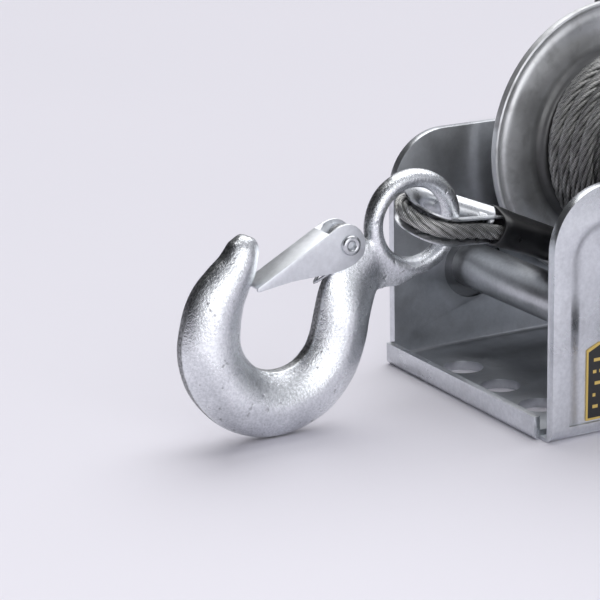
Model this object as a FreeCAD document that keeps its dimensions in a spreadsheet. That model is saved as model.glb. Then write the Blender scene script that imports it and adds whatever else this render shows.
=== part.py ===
import FreeCAD, Part
import math
import os
import Sketcher
from FreeCAD import Placement, Rotation, Vector

# A hand winch for a boat trailer: a bent steel frame, a rope drum driven through a gear pair
# by a cranked handle, a ratchet, and a wire rope that ends in a forged hook with a spring latch.
# Frame of the part: X runs along the drum's axle, -Y is the way the rope pays out, Z is up.
# The origin is the middle hole of the base's front row, at the base's underside. All in mm.

doc = FreeCAD.newDocument("boat_trailer_winch")
sheet = doc.addObject("Spreadsheet::Sheet", "Sizes")

DRIVING = {
    # the frame
    "inner_width": 87.0, "plate_thick": 3.0, "front_edge": -12.4, "rear_edge": 141.0,
    "shoulder_height": 76.4, "shoulder_radius": 19.0, "lobe_height": 142.0, "bend_inner": 1.2,
    "lip_height": 7.3, "lip_left": -45.0, "lip_right": 40.0, "lip_thick": 2.2,
    "base_hole_radius": 6.35, "base_hole_pitch": 21.5, "rear_row": 118.0, "panel_depth": 0.8,
    # the drum and its axle
    "drum_y": 68.3, "drum_z": 66.0, "hub_radius": 17.5, "hub_wall": 2.5, "flange_radius": 47.0,
    "flange_thick": 2.2, "left_flange_x": -38.2, "right_flange_x": 31.0,
    "axle_bolt_radius": 6.0, "spacer_radius": 8.0,
    # the gears
    "tooth_module": 2.5, "drum_teeth": 41, "pinion_teeth": 12, "gear_width": 6.0,
    "pinion_width": 8.0, "mesh_angle": 60.0, "shaft_radius": 8.0,
    # the ratchet and pawl
    "ratchet_radius": 17.0, "ratchet_width": 6.0, "ratchet_teeth": 12,
    # the crank and its grip
    "crank_length": 160.0, "crank_width": 25.0, "crank_thick": 6.0, "grip_length": 104.0,
    "grip_radius": 16.0, "spindle_radius": 5.0,
    # the tie tube across the front
    "tie_y": 17.7, "tie_z": 29.2, "tie_radius": 7.4, "tie_bolt_radius": 4.0,
    # the rope and what is on it
    "rope_dia": 5.0, "rope_side": 2.65, "hook_x": -3.5,
    # the hook and its latch
    "bowl_y": -76.8, "bowl_z": 31.75, "bowl_radius": 21.9, "eye_y": -29.6, "eye_z": 59.1,
    "eye_radius": 13.5, "eye_wire": 2.75, "latch_y": -53.6, "latch_z": 56.5,
    # play
    "fit_gap": 0.02, "running_gap": 0.05,
}
for row, (alias, number) in enumerate(DRIVING.items(), start=1):
    sheet.set(f"A{row}", alias)
    sheet.set(f"B{row}", str(number))
    sheet.setAlias(f"B{row}", alias)
doc.recompute()


class Dim:
    """A size with two faces: its number now, and the expression that ties it to the sheet."""

    def __init__(self, number, text):
        self.number = float(number)
        self.text = text

    def __float__(self):
        return self.number

    def __add__(self, other):
        return combine(self, other, "+", self.number + float(other))

    def __sub__(self, other):
        return combine(self, other, "-", self.number - float(other))

    def __mul__(self, other):
        return combine(self, other, "*", self.number * float(other))

    def __truediv__(self, other):
        return combine(self, other, "/", self.number / float(other))

    def __radd__(self, other):
        return dim(other) + self

    def __rsub__(self, other):
        return dim(other) - self

    def __rmul__(self, other):
        return dim(other) * self

    def __neg__(self):
        return dim(0) - self


def dim(value):
    """A plain number as a Dim, so that both kinds mix."""
    return value if isinstance(value, Dim) else Dim(value, f"({value})")


def combine(a, b, sign, number):
    return Dim(number, f"({a.text} {sign} {dim(b).text})")


def cell(alias):
    return Dim(sheet.get(alias), f"Sizes.{alias}")


# Sizes that several pieces share, worked out from the sheet.
inner_x = cell("inner_width") / 2
thick = cell("plate_thick")
outer_x = inner_x + thick
front, rear = cell("front_edge"), cell("rear_edge")
drum_y, drum_z = cell("drum_y"), cell("drum_z")
module = cell("tooth_module")
centre_distance = module * (cell("drum_teeth") + cell("pinion_teeth")) / 2
mesh_cos = math.cos(math.radians(float(cell("mesh_angle"))))
mesh_sin = math.sin(math.radians(float(cell("mesh_angle"))))
pinion_y = drum_y + centre_distance * mesh_cos
pinion_z = drum_z + centre_distance * mesh_sin
tie_y, tie_z = cell("tie_y"), cell("tie_z")
fit, play = cell("fit_gap"), cell("running_gap")
shaft_r = cell("shaft_radius")
shoulder, lobe = cell("shoulder_height"), cell("lobe_height")
hook_x = cell("hook_x")
rope_r = cell("rope_dia") / 2

subparts = []


def keep(obj, label):
    """Names a finished sub-part; its label is also its file's name."""
    obj.Label = label
    subparts.append(obj)
    return obj


# --- Bodies made by sketches -------------------------------------------------------------

def new_body(label):
    return keep(doc.addObject("PartDesign::Body", label), label)


def sketch_on(body, role, offset=0):
    """A sketch on one of the body's own planes, moved along that plane's normal."""
    sketch = body.newObject("Sketcher::SketchObject", "Sketch")
    plane = [item for item in body.Origin.OriginFeatures if item.Role == role][0]
    sketch.AttachmentSupport = (plane, [""])
    sketch.MapMode = "FlatFace"
    sketch.AttachmentOffset = Placement(Vector(0, 0, float(offset)), Rotation())
    if isinstance(offset, Dim):
        sketch.setExpression(".AttachmentOffset.Base.z", offset.text)
    return sketch


def pin_point(sketch, geo, spot, u, v):
    """Holds one point of the sketch at (u, v), each tied to the sheet."""
    for kind, size in (("DistanceX", dim(u)), ("DistanceY", dim(v))):
        place = sketch.addConstraint(Sketcher.Constraint(kind, -1, 1, geo, spot, float(size)))
        sketch.setExpression(f"Constraints[{place}]", size.text)


def draw_polygon(sketch, corners):
    count = len(corners)
    start = sketch.GeometryCount
    for i in range(count):
        a, b = corners[i], corners[(i + 1) % count]
        sketch.addGeometry(Part.LineSegment(Vector(float(a[0]), float(a[1]), 0),
                                            Vector(float(b[0]), float(b[1]), 0)))
    for i in range(count):
        sketch.addConstraint(Sketcher.Constraint("Coincident", start + i, 2,
                                                 start + (i + 1) % count, 1))
    for i, (u, v) in enumerate(corners):
        pin_point(sketch, start + i, 1, u, v)


def draw_circles(sketch, circles):
    for u, v, radius in circles:
        geo = sketch.addGeometry(Part.Circle(Vector(float(u), float(v), 0), Vector(0, 0, 1),
                                             float(radius)))
        pin_point(sketch, geo, 3, u, v)
        place = sketch.addConstraint(Sketcher.Constraint("Radius", geo, float(radius)))
        sketch.setExpression(f"Constraints[{place}]", dim(radius).text)


def pad(body, sketch, length, towards_minus=False):
    feature = body.newObject("PartDesign::Pad", "Pad")
    feature.Profile = sketch
    feature.Length = float(length)
    feature.setExpression("Length", dim(length).text)
    feature.Reversed = towards_minus
    return feature


def pocket(body, sketch, length):
    """Cuts from the sketch against its plane's normal, and makes sure something was cut."""
    doc.recompute()
    before = body.Shape.Volume
    feature = body.newObject("PartDesign::Pocket", "Pocket")
    feature.Profile = sketch
    feature.Length = float(length)
    feature.setExpression("Length", dim(length).text)
    doc.recompute()
    if not body.Shape.Volume < before - 0.01:
        raise RuntimeError(f"a pocket of {body.Label} cuts nothing")
    return feature


def round_edges(body, radius, wanted):
    """Fillets the edges whose middle and direction pass the test."""
    doc.recompute()
    names = []
    for i, edge in enumerate(body.Shape.Edges, start=1):
        middle = edge.valueAt((edge.FirstParameter + edge.LastParameter) / 2)
        along = edge.tangentAt(edge.FirstParameter)
        if wanted(middle, along):
            names.append(f"Edge{i}")
    if not names:
        raise RuntimeError(f"no edge of {body.Label} to round")
    base = body.Tip
    feature = body.newObject("PartDesign::Fillet", "Fillet")
    feature.Base = (base, names)
    feature.Radius = float(radius)
    feature.setExpression("Radius", dim(radius).text)
    return feature


def turned(label, profile, y=0, z=0):
    """A lathe piece on an axis along X: the profile lists (x, radius) corners."""
    body = new_body(label)
    sketch = sketch_on(body, "XY_Plane")
    draw_polygon(sketch, profile)
    feature = body.newObject("PartDesign::Revolution", "Revolution")
    feature.Profile = sketch
    feature.ReferenceAxis = (sketch, ["H_Axis"])
    feature.Angle = 360
    body.setExpression(".Placement.Base.y", dim(y).text)
    body.setExpression(".Placement.Base.z", dim(z).text)
    return body


def tube_profile(x0, x1, inside, outside):
    return [(x0, inside), (x1, inside), (x1, outside), (x0, outside)]


def rod_profile(*steps):
    """A solid rod given as (x, radius) steps: each radius holds from its x to the next one."""
    corners = [(steps[0][0], 0)]
    for (x, radius), (x_next, _) in zip(steps, steps[1:]):
        corners += [(x, radius), (x_next, radius)]
    return corners + [(steps[-1][0], 0)]


def hexagon(across_flats):
    """Corners of a hexagon, for nuts and bolt heads."""
    turns = [math.radians(60 * i) for i in range(6)]
    return [(across_flats * (math.cos(a) / math.sqrt(3)), across_flats * (math.sin(a) / math.sqrt(3)))
            for a in turns]


def hex_nut(label, x0, height, across_flats, bore, y, z):
    body = new_body(label)
    sketch = sketch_on(body, "YZ_Plane", x0)
    draw_polygon(sketch, hexagon(dim(across_flats)))
    draw_circles(sketch, [(0, 0, bore)])
    pad(body, sketch, height)
    body.setExpression(".Placement.Base.y", dim(y).text)
    body.setExpression(".Placement.Base.z", dim(z).text)
    return body


def hex_bolt(label, seat, head_height, across_flats, shank_end, radius, y, z):
    """Head on the +X side of its seat, shank running towards -X."""
    body = new_body(label)
    head = sketch_on(body, "YZ_Plane", seat)
    draw_polygon(head, hexagon(dim(across_flats)))
    pad(body, head, head_height)
    shank = sketch_on(body, "YZ_Plane", shank_end)
    draw_circles(shank, [(0, 0, radius)])
    pad(body, shank, seat - shank_end + 1)
    round_edges(body, 0.8, lambda p, t: p.x < float(shank_end) + 0.01)
    body.setExpression(".Placement.Base.y", dim(y).text)
    body.setExpression(".Placement.Base.z", dim(z).text)
    return body


# --- Shapes worked out in code -----------------------------------------------------------

def computed(label, shape):
    feature = doc.addObject("Part::Feature", label)
    feature.Shape = shape.removeSplitter()
    return keep(feature, label)


def rod(x0, x1, radius, y, z):
    return Part.makeCylinder(float(radius), float(x1) - float(x0),
                             Vector(float(x0), float(y), float(z)), Vector(1, 0, 0))


def slab(outline, x0, x1):
    """A flat piece: a closed list of (y, z) corners, from x0 to x1."""
    points = [Vector(float(x0), float(y), float(z)) for y, z in outline]
    face = Part.Face(Part.makePolygon(points + points[:1]))
    return face.extrude(Vector(float(x1) - float(x0), 0, 0))


def oval(centre, wide, tall, half_w, half_t, spots=16):
    """A smooth closed section: half_w along wide, half_t along tall."""
    turn = 2 * math.pi / spots
    points = [centre + wide * (half_w * math.cos(turn * i)) + tall * (half_t * math.sin(turn * i))
              for i in range(spots)]
    curve = Part.BSplineCurve()
    curve.interpolate(points, PeriodicFlag=True)
    return Part.Wire(curve.toShape())


# --- The frame ---------------------------------------------------------------------------

def frame():
    """One bent sheet: base, two side plates and a lip folded up along the base's front."""
    body = new_body("frame")
    bend_in = cell("bend_inner")
    section = sketch_on(body, "XZ_Plane", -front)
    draw_polygon(section, [(-outer_x, 0), (outer_x, 0), (outer_x, lobe), (inner_x, lobe),
                           (inner_x, thick), (-inner_x, thick), (-inner_x, lobe), (-outer_x, lobe)])
    pad(body, section, rear - front, towards_minus=True)
    round_edges(body, bend_in, lambda p, t: abs(t.y) > 0.9 and abs(p.z - float(thick)) < 0.01)
    round_edges(body, bend_in + thick, lambda p, t: abs(t.y) > 0.9 and p.z < 0.01)
    side = sketch_on(body, "YZ_Plane", outer_x + 1)
    edge = 5
    draw_polygon(side, [(front - edge, shoulder), (52, shoulder), (80, lobe), (80, lobe + edge),
                        (front - edge, lobe + edge)])
    draw_polygon(side, [(rear + edge, 56), (rear, 56), (121, lobe), (121, lobe + edge),
                        (rear + edge, lobe + edge)])
    pocket(body, side, outer_x * 2 + 2)
    corners = [(front, shoulder, cell("shoulder_radius")), (52, shoulder, 24), (80, lobe, 17),
               (121, lobe, 17), (rear, 56, 30)]
    for y, z, radius in corners:
        round_edges(body, radius, lambda p, t, y=y, z=z: abs(t.x) > 0.9
                    and abs(p.y - float(y)) < 0.01 and abs(p.z - float(z)) < 0.01)
    lip = sketch_on(body, "YZ_Plane", cell("lip_left"))
    lip_back = front
    draw_polygon(lip, [(lip_back - cell("lip_thick"), 0), (lip_back + 1, 0), (lip_back + 1, thick),
                       (lip_back, thick), (lip_back, cell("lip_height")),
                       (lip_back - cell("lip_thick"), cell("lip_height"))])
    pad(body, lip, cell("lip_right") - cell("lip_left"))
    round_edges(body, 1.9, lambda p, t: abs(t.x) > 0.9 and p.z < 0.01
                and abs(p.y - float(lip_back - cell("lip_thick"))) < 0.01)
    panel = sketch_on(body, "YZ_Plane", outer_x)
    draw_polygon(panel, [(front + 5.9, 4.6), (front + 5.9, shoulder - 22), (front + 8.2, shoulder - 17),
                         (front + 12.2, shoulder - 12.8), (front + 18, shoulder - 10), (56, shoulder - 10),
                         (86, lobe - 10), (114, lobe - 10), (rear - 8, 54), (rear - 8, 4.6)])
    pocket(body, panel, cell("panel_depth"))
    notch = sketch_on(body, "XY_Plane", thick + bend_in)
    draw_polygon(notch, [(cell("lip_right"), front - 4), (inner_x, front - 4), (inner_x, front + 3),
                         (cell("lip_right"), front + 3)])
    pocket(body, notch, bend_in + thick - 1.2)
    holes = sketch_on(body, "XY_Plane", thick + 1)
    pitch = cell("base_hole_pitch")
    draw_circles(holes, [(pitch * i, y, cell("base_hole_radius"))
                         for y in (dim(0), cell("rear_row")) for i in (-1, 0, 1)])
    pocket(body, holes, thick + 2)
    bores = sketch_on(body, "YZ_Plane", outer_x + 1)
    draw_circles(bores, [(drum_y, drum_z, cell("axle_bolt_radius") + 0.1),
                         (tie_y, tie_z, cell("tie_bolt_radius") + 0.1),
                         (pinion_y, pinion_z, shaft_r + 2.5)])
    pocket(body, bores, outer_x * 2 + 2)
    pivot = sketch_on(body, "YZ_Plane", -inner_x + 1)
    draw_circles(pivot, [(pawl_y, pawl_z, 4)])
    pocket(body, pivot, thick + 2)
    boss = sketch_on(body, "YZ_Plane", -outer_x - 1.2)
    draw_circles(boss, [(tie_y, tie_z, 12), (tie_y, tie_z, cell("tie_bolt_radius") + 0.1)])
    pad(body, boss, 1.3)
    dimple = sketch_on(body, "YZ_Plane", -inner_x)
    draw_circles(dimple, [(tie_y, tie_z, 11)])
    pocket(body, dimple, 1.2)


pawl_y = pinion_y + 17.4
pawl_z = pinion_z - 20.7
frame()

# --- The tie tube that keeps the plates apart, and its bolt -------------------------------
tie_hole = cell("tie_bolt_radius")
turned("tie_tube", tube_profile(-inner_x - 1.2, inner_x, cell("tie_radius") - 2.4, cell("tie_radius")),
       tie_y, tie_z)
hex_bolt("tie_bolt", outer_x, 5.3, 13, -outer_x - 10, tie_hole, tie_y, tie_z)
hex_nut("tie_nut", -outer_x - 7.7, 6.5, 13, tie_hole + fit, tie_y, tie_z)

# --- The drum's axle ---------------------------------------------------------------------
axle_r = cell("axle_bolt_radius")
spacer_r = cell("spacer_radius")
hex_bolt("axle_bolt", outer_x, 7.5, 19, -outer_x - 13, axle_r, drum_y, drum_z)
hex_nut("axle_nut", -outer_x - 10, 10, 19, axle_r + fit, drum_y, drum_z)
turned("axle_spacer", tube_profile(-inner_x, inner_x, axle_r + play, spacer_r), drum_y, drum_z)

# --- The drum ----------------------------------------------------------------------------
hub_r = cell("hub_radius")
hub_in = hub_r - cell("hub_wall")
flange_r, flange_t = cell("flange_radius"), cell("flange_thick")
left_x, right_x = cell("left_flange_x"), cell("right_flange_x")
gear_x = right_x + flange_t
gear_end = gear_x + cell("gear_width")
turned("drum_hub", tube_profile(left_x + 2.6, gear_end, hub_in, hub_r), drum_y, drum_z)
turned("left_drum_bush", [(left_x + 0.6, spacer_r + play), (left_x + 16, spacer_r + play),
                          (left_x + 16, hub_in - fit), (left_x + 2.6, hub_in - fit),
                          (left_x + 2.6, hub_r - 0.5), (left_x + 0.6, hub_r - 0.5)], drum_y, drum_z)
turned("right_drum_bush", [(gear_end - 14, spacer_r + play), (gear_end + 1.2, spacer_r + play),
                           (gear_end + 1.2, hub_r - 0.5), (gear_end, hub_r - 0.5),
                           (gear_end, hub_in - fit), (gear_end - 14, hub_in - fit)], drum_y, drum_z)
# The left flange is dished inwards round the hub, where the rope's clamp is screwed on.
dish = 2.6
clamp_ring, clamp_screw_r = hub_r + 5.8, 2.5
dish_inner, rim_inner = clamp_ring + 5.7, flange_r - 2.6
left_flange = turned("left_flange", [
    (left_x + dish, hub_r + fit), (left_x + dish, dish_inner), (left_x, dish_inner + 5), (left_x, rim_inner),
    (left_x - 0.9, flange_r - 1.6), (left_x - 0.9, flange_r - 0.8), (left_x - 0.1, flange_r),
    (left_x + 1.9, flange_r), (left_x + 2.9, flange_r - 0.9), (left_x + flange_t, rim_inner),
    (left_x + flange_t, dish_inner + 6), (left_x + flange_t + dish, dish_inner + 1),
    (left_x + flange_t + dish, hub_r + fit)], drum_y, drum_z)
right_flange = turned("right_flange", [
    (right_x, hub_r + fit), (right_x, flange_r - 1), (right_x + 1, flange_r),
    (right_x + flange_t, flange_r), (right_x + flange_t, hub_r + fit)], drum_y, drum_z)

# Four rivets hold the gear against the right flange; a screw clamps the rope on the left one.
# The rivets' heads share the room between the rope's second layer and the flange's rim.
layer = cell("rope_dia") * 0.94
second_layer_r = hub_r + layer * 2 + 0.4
rivet_room = flange_r - second_layer_r
rivet_ring, rivet_r = second_layer_r + rivet_room * 0.543, 4.0
rivet_head_r = rivet_room * 0.355
quarter = [math.radians(45 + 90 * i) for i in range(4)]
rivet_holes = sketch_on(right_flange, "YZ_Plane", gear_x + 1)
draw_circles(rivet_holes, [(rivet_ring * math.cos(a), rivet_ring * math.sin(a), rivet_r + fit)
                           for a in quarter])
pocket(right_flange, rivet_holes, flange_t + 2)
screw_hole = sketch_on(left_flange, "YZ_Plane", left_x + dish + 4)
draw_circles(screw_hole, [(0, clamp_ring, clamp_screw_r + fit)])
pocket(left_flange, screw_hole, 6)
clamp_x = left_x + dish
clamp = new_body("rope_clamp")
clamp_face = sketch_on(clamp, "YZ_Plane", clamp_x - 3)
draw_polygon(clamp_face, [(-7, clamp_ring - 4.4), (7, clamp_ring - 4.4), (7, clamp_ring + 4.2),
                          (-7, clamp_ring + 4.2)])
draw_circles(clamp_face, [(0, clamp_ring, clamp_screw_r + fit)])
pad(clamp, clamp_face, 3)
clamp.setExpression(".Placement.Base.y", drum_y.text)
clamp.setExpression(".Placement.Base.z", drum_z.text)
turned("rope_clamp_screw", [(clamp_x - 5.6, 0), (clamp_x - 5.6, 3.6), (clamp_x - 4.9, 4.3),
                            (clamp_x - 3, 4.3), (clamp_x - 3, clamp_screw_r), (clamp_x + 2, clamp_screw_r), (clamp_x + 2, 0)],
       drum_y, drum_z + clamp_ring)

# The rope on the drum: two full layers, and a third that ends beside the leaving rope.
wound_left, wound_right = left_x + flange_t + dish + 0.1, right_x - 0.1
turned("rope_winding", [(wound_left, hub_r + play), (wound_right, hub_r + play),
                        (wound_right, second_layer_r), (-6.4, second_layer_r),
                        (-6.4, hub_r + layer * 3 + 0.4), (wound_left, hub_r + layer * 3 + 0.4)],
       drum_y, drum_z)


def tooth_edges(x, teeth, m, phase, addendum, dedendum, slack, pressure=math.radians(25)):
    """The closed outline of an involute gear, centred on the axis, in the plane at x."""
    pitch_r = m * teeth / 2
    base_r = pitch_r * math.cos(pressure)
    tip_r, root_r = pitch_r + addendum * m, pitch_r - dedendum * m
    half_pitch = (math.pi * m / 2 - slack) / 2 / pitch_r

    def half_angle(r):
        alpha = math.acos(min(1.0, base_r / r))
        return half_pitch + (math.tan(pressure) - pressure) - (math.tan(alpha) - alpha)

    def spot(r, angle):
        return Vector(x, r * math.cos(angle), r * math.sin(angle))

    start_r = max(base_r, root_r)
    radii = [start_r + (tip_r - start_r) * k / 4 for k in range(5)]
    step = 2 * math.pi / teeth
    edges = []
    for i in range(teeth):
        mid = phase + step * i
        rise = [spot(r, mid - half_angle(r)) for r in radii]
        fall = [spot(r, mid + half_angle(r)) for r in reversed(radii)]
        foot = half_angle(start_r)
        if root_r < base_r:
            edges.append(Part.makeLine(spot(root_r, mid - foot), rise[0]))
        for flank in (rise, fall):
            curve = Part.BSplineCurve()
            curve.interpolate(flank)
            edges.append(curve.toShape())
            if flank is rise:
                edges.append(Part.Arc(rise[-1], spot(tip_r, mid), fall[0]).toShape())
        if root_r < base_r:
            edges.append(Part.makeLine(fall[-1], spot(root_r, mid + foot)))
        edges.append(Part.Arc(spot(root_r, mid + foot), spot(root_r, mid + step / 2),
                              spot(root_r, mid + step - foot)).toShape())
    return edges


def gear_solid(x0, x1, teeth, phase, y, z):
    edges = tooth_edges(float(x0), int(float(teeth)), float(module), phase, 0.8, 1.05, 0.3)
    face = Part.Face(Part.Wire(edges))
    solid = face.extrude(Vector(float(x1) - float(x0), 0, 0))
    solid.translate(Vector(0, float(y), float(z)))
    return solid


mesh = math.radians(float(cell("mesh_angle")))
drum_teeth, pinion_teeth = int(float(cell("drum_teeth"))), int(float(cell("pinion_teeth")))
window_r = 7.5


def on_drum(radius, angle):
    return float(drum_y) + radius * math.cos(angle), float(drum_z) + radius * math.sin(angle)


def drum_gear():
    solid = gear_solid(gear_x, gear_end, drum_teeth, mesh + math.pi / drum_teeth, drum_y, drum_z)
    cuts = [rod(gear_x - 1, gear_end + 1, hub_r + fit, drum_y, drum_z)]
    for angle in quarter:
        cuts.append(rod(gear_x - 1, gear_end + 1, rivet_r + float(fit), *on_drum(rivet_ring, angle)))
        window = on_drum(32.0, angle + math.pi / 4)
        cuts.append(rod(gear_x - 1, gear_end + 1, window_r, *window))
    return computed("drum_gear", solid.cut(Part.makeCompound(cuts)))


def gear_rivets():
    """Four rivets that hold the gear against the drum's flange, a low round head at each end."""
    pieces = []
    for angle in quarter:
        y, z = on_drum(rivet_ring, angle)
        shank = rod(right_x - 1.6, gear_end + 1.8, rivet_r, y, z)
        heads = [rod(right_x - 1.6, right_x, rivet_head_r, y, z),
                 rod(gear_end, gear_end + 1.8, rivet_head_r, y, z)]
        pieces.append(shank.fuse(heads).removeSplitter())
    return computed("gear_rivets", Part.makeCompound(pieces))


drum_gear()
gear_rivets()

# --- The pinion shaft, its bushes, the pinion and the ratchet -----------------------------
crank_x = outer_x + 9
crank_t = cell("crank_thick")
flats = 11.0
thread_r = 5.0
ring_x = -outer_x - 2.1
pinion_x = gear_x - 1
pinion_end = pinion_x + cell("pinion_width")
ratchet_x = -inner_x + 2.2
ratchet_end = ratchet_x + cell("ratchet_width")


def pinion_at(offset=0):
    return float(pinion_y) + offset, float(pinion_z)


def flatted(x0, x1, radius):
    """A round bar with two flats, which the crank can't slip round on."""
    bar = rod(x0, x1, radius, pinion_y, pinion_z)
    side = 2 * float(radius)
    box = Part.makeBox(float(x1) - float(x0), side, flats,
                       Vector(float(x0), float(pinion_y) - radius, float(pinion_z) - flats / 2))
    return bar.common(box)


def pinion_shaft():
    pieces = [rod(ring_x + 1.3, crank_x, shaft_r, pinion_y, pinion_z),
              rod(ring_x - 0.05, ring_x + 1.35, shaft_r - 1, pinion_y, pinion_z),
              rod(ring_x - 2, ring_x, shaft_r, pinion_y, pinion_z),
              flatted(crank_x - 0.5, crank_x + crank_t, 7.0),
              rod(crank_x + crank_t - 0.5, crank_x + crank_t + 13, thread_r, pinion_y, pinion_z)]
    solid = pieces[0].fuse(pieces[1:])
    return computed("pinion_shaft", solid)


def pinion_gear():
    solid = gear_solid(pinion_x, pinion_end, pinion_teeth, mesh + math.pi, pinion_y, pinion_z)
    bore = rod(pinion_x - 1, pinion_end + 1, shaft_r + fit, pinion_y, pinion_z)
    return computed("pinion_gear", solid.cut(bore))


def ratchet_wheel():
    """Saw teeth: each has a steep face that the pawl bears on and a long back it rides over."""
    count = int(float(cell("ratchet_teeth")))
    tip = float(cell("ratchet_radius"))
    outline = []
    for i in range(count):
        for radius, part in ((tip, 0.0), (tip, 0.1), (tip * 0.8, 0.16)):
            angle = 2 * math.pi * (i + part) / count
            outline.append((float(pinion_y) + radius * math.cos(angle),
                            float(pinion_z) + radius * math.sin(angle)))
    wheel = slab(outline, ratchet_x, ratchet_end)
    bore = rod(ratchet_x - 1, ratchet_end + 1, shaft_r + fit, pinion_y, pinion_z)
    return computed("ratchet_wheel", wheel.cut(bore))


pinion_shaft()
pinion_gear()
ratchet_wheel()
turned("shaft_spacer", tube_profile(ratchet_end, pinion_x, shaft_r + fit, shaft_r + 2.5), pinion_y, pinion_z)
bush_r = shaft_r + 2.5
turned("left_shaft_bush", [(-outer_x, shaft_r + play), (-inner_x + 2, shaft_r + play), (-inner_x + 2, bush_r + 2.5),
                           (-inner_x, bush_r + 2.5), (-inner_x, bush_r - fit), (-outer_x, bush_r - fit)],
       pinion_y, pinion_z)
turned("right_shaft_bush", [(inner_x - 2, shaft_r + play), (outer_x + 0.5, shaft_r + play),
                            (outer_x + 0.5, bush_r - fit), (inner_x, bush_r - fit), (inner_x, bush_r + 2.5),
                            (inner_x - 2, bush_r + 2.5)], pinion_y, pinion_z)
turned("shaft_ring", tube_profile(ring_x + 0.05, ring_x + 1.25, shaft_r - 1 + fit, shaft_r + 2.6),
       pinion_y, pinion_z)
turned("crank_spacer", tube_profile(outer_x + 0.8, crank_x, shaft_r + fit, shaft_r + 4), pinion_y, pinion_z)

# --- The pawl on its rivet ----------------------------------------------------------------
pawl_r = 4.0
pawl_shape = [(-0.4, 16.2), (3.4, 14.6), (7.0, 4.5), (17.0, -2.5), (15.6, -8.0), (4.0, -7.5), (-5.0, -5.0),
              (-6.6, 2.0), (-3.6, 9.0)]


def ratchet_pawl():
    outline = [(float(pawl_y) + y, float(pawl_z) + z) for y, z in pawl_shape]
    plate = slab(outline, ratchet_x, ratchet_end)
    bore = rod(ratchet_x - 1, ratchet_end + 1, pawl_r + float(play), pawl_y, pawl_z)
    return computed("ratchet_pawl", plate.cut(bore))


def pawl_spring():
    """A single turn of wire behind the pawl, with one leg towards the plate's edge."""
    middle = Vector(float(-inner_x) + 1.1, float(pawl_y), float(pawl_z))
    coil = Part.makeTorus(5.6, 0.7, middle, Vector(1, 0, 0))
    leg = Part.makeCylinder(0.6, 8, middle + Vector(0, 5.6, 0), Vector(0, 1, 0))
    return computed("pawl_spring", coil.fuse(leg))


ratchet_pawl()
pawl_spring()
turned("pawl_rivet", [(-outer_x - 1.8, 0), (-outer_x - 1.8, 5.6), (-outer_x - 0.6, 7), (-outer_x, 7),
                      (-outer_x, pawl_r - fit), (ratchet_end + 0.3, pawl_r - fit), (ratchet_end + 0.3, 6.5),
                      (ratchet_end + 1.4, 6.5), (ratchet_end + 1.9, 5.4), (ratchet_end + 1.9, 0)], pawl_y, pawl_z)

# --- The crank: arm, nut, spindle and a grip that turns on it ------------------------------
crank_len = cell("crank_length")
crank_half = float(cell("crank_width")) / 2
spindle_r = cell("spindle_radius")
grip_x = crank_x + crank_t + 2.3
grip_end = grip_x + cell("grip_length")
grip_r = cell("grip_radius")


def crank_arm():
    y0, z0 = pinion_at()
    y1 = y0 + float(crank_len)
    bar = slab([(y0, z0 - crank_half), (y1, z0 - crank_half), (y1, z0 + crank_half), (y0, z0 + crank_half)],
               crank_x, crank_x + crank_t)
    eyes = [rod(crank_x, crank_x + crank_t, crank_half, y, z0) for y in (y0, y1)]
    holes = [flatted(crank_x - 1, crank_x + crank_t + 1, 7.0), rod(crank_x - 1, crank_x + crank_t + 1, 6, y1, z0)]
    return computed("crank_arm", bar.fuse(eyes).cut(Part.makeCompound(holes)))


crank_arm()
nut_x = crank_x + crank_t
turned("crank_washer", tube_profile(nut_x, nut_x + 1.8, thread_r + fit, 10.5), pinion_y, pinion_z)
hex_nut("crank_nut", nut_x + 1.8, 8, 17, thread_r + fit, pinion_y, pinion_z)
turned("grip_spindle", [(crank_x - 2, 0), (crank_x - 2, 7), (crank_x - 0.8, 8.5), (crank_x, 8.5), (crank_x, 6 - fit),
                        (nut_x, 6 - fit), (nut_x, 8.5), (nut_x + 2, 8.5), (nut_x + 2, spindle_r),
                        (grip_end + 0.3, spindle_r), (grip_end + 0.3, 8), (grip_end + 1.7, 8),
                        (grip_end + 2.8, 6.2), (grip_end + 2.8, 0)], pinion_y + crank_len, pinion_z)
turned("handle_grip", [(grip_x, spindle_r + play), (grip_end, spindle_r + play), (grip_end, grip_r - 3.5),
                       (grip_end - 2.5, grip_r - 1), (grip_end - 15, grip_r), (grip_end - 45, grip_r - 1.8),
                       (grip_x + 22, grip_r - 0.8), (grip_x + 7, grip_r + 1.6), (grip_x + 2, grip_r + 1.8),
                       (grip_x, grip_r)], pinion_y + crank_len, pinion_z)

# --- The label plate in the pressed panel of the +X side plate -----------------------------
label_face = outer_x - cell("panel_depth")
computed("label_plate", slab([(-0.2, 5.2), (58, 5.2), (60, 7.2), (60, 27.4), (56, 29), (28, 29), (26.4, 20.6),
                              (9, 20.6), (7.4, 29), (4, 28.9), (-0.2, 27)], label_face, label_face + 0.3))

# --- The rope that leaves the drum, and the eye at its end ----------------------------------
# The route: off the drum, down to the sleeve, through it, round the thimble, and back into it.
ROPE_ROUTE = [(-0.85, 68.2, 36.1), (-0.85, 41.2, 36.2), (-0.85, -1.15, 54.2), (8.46, -25.6, 61.0),
              (-3.5, -34.2, 63.4), (-15.46, -25.6, 61.0), (-6.15, -1.15, 54.2), (-6.15, 26.5, 42.5)]


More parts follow.
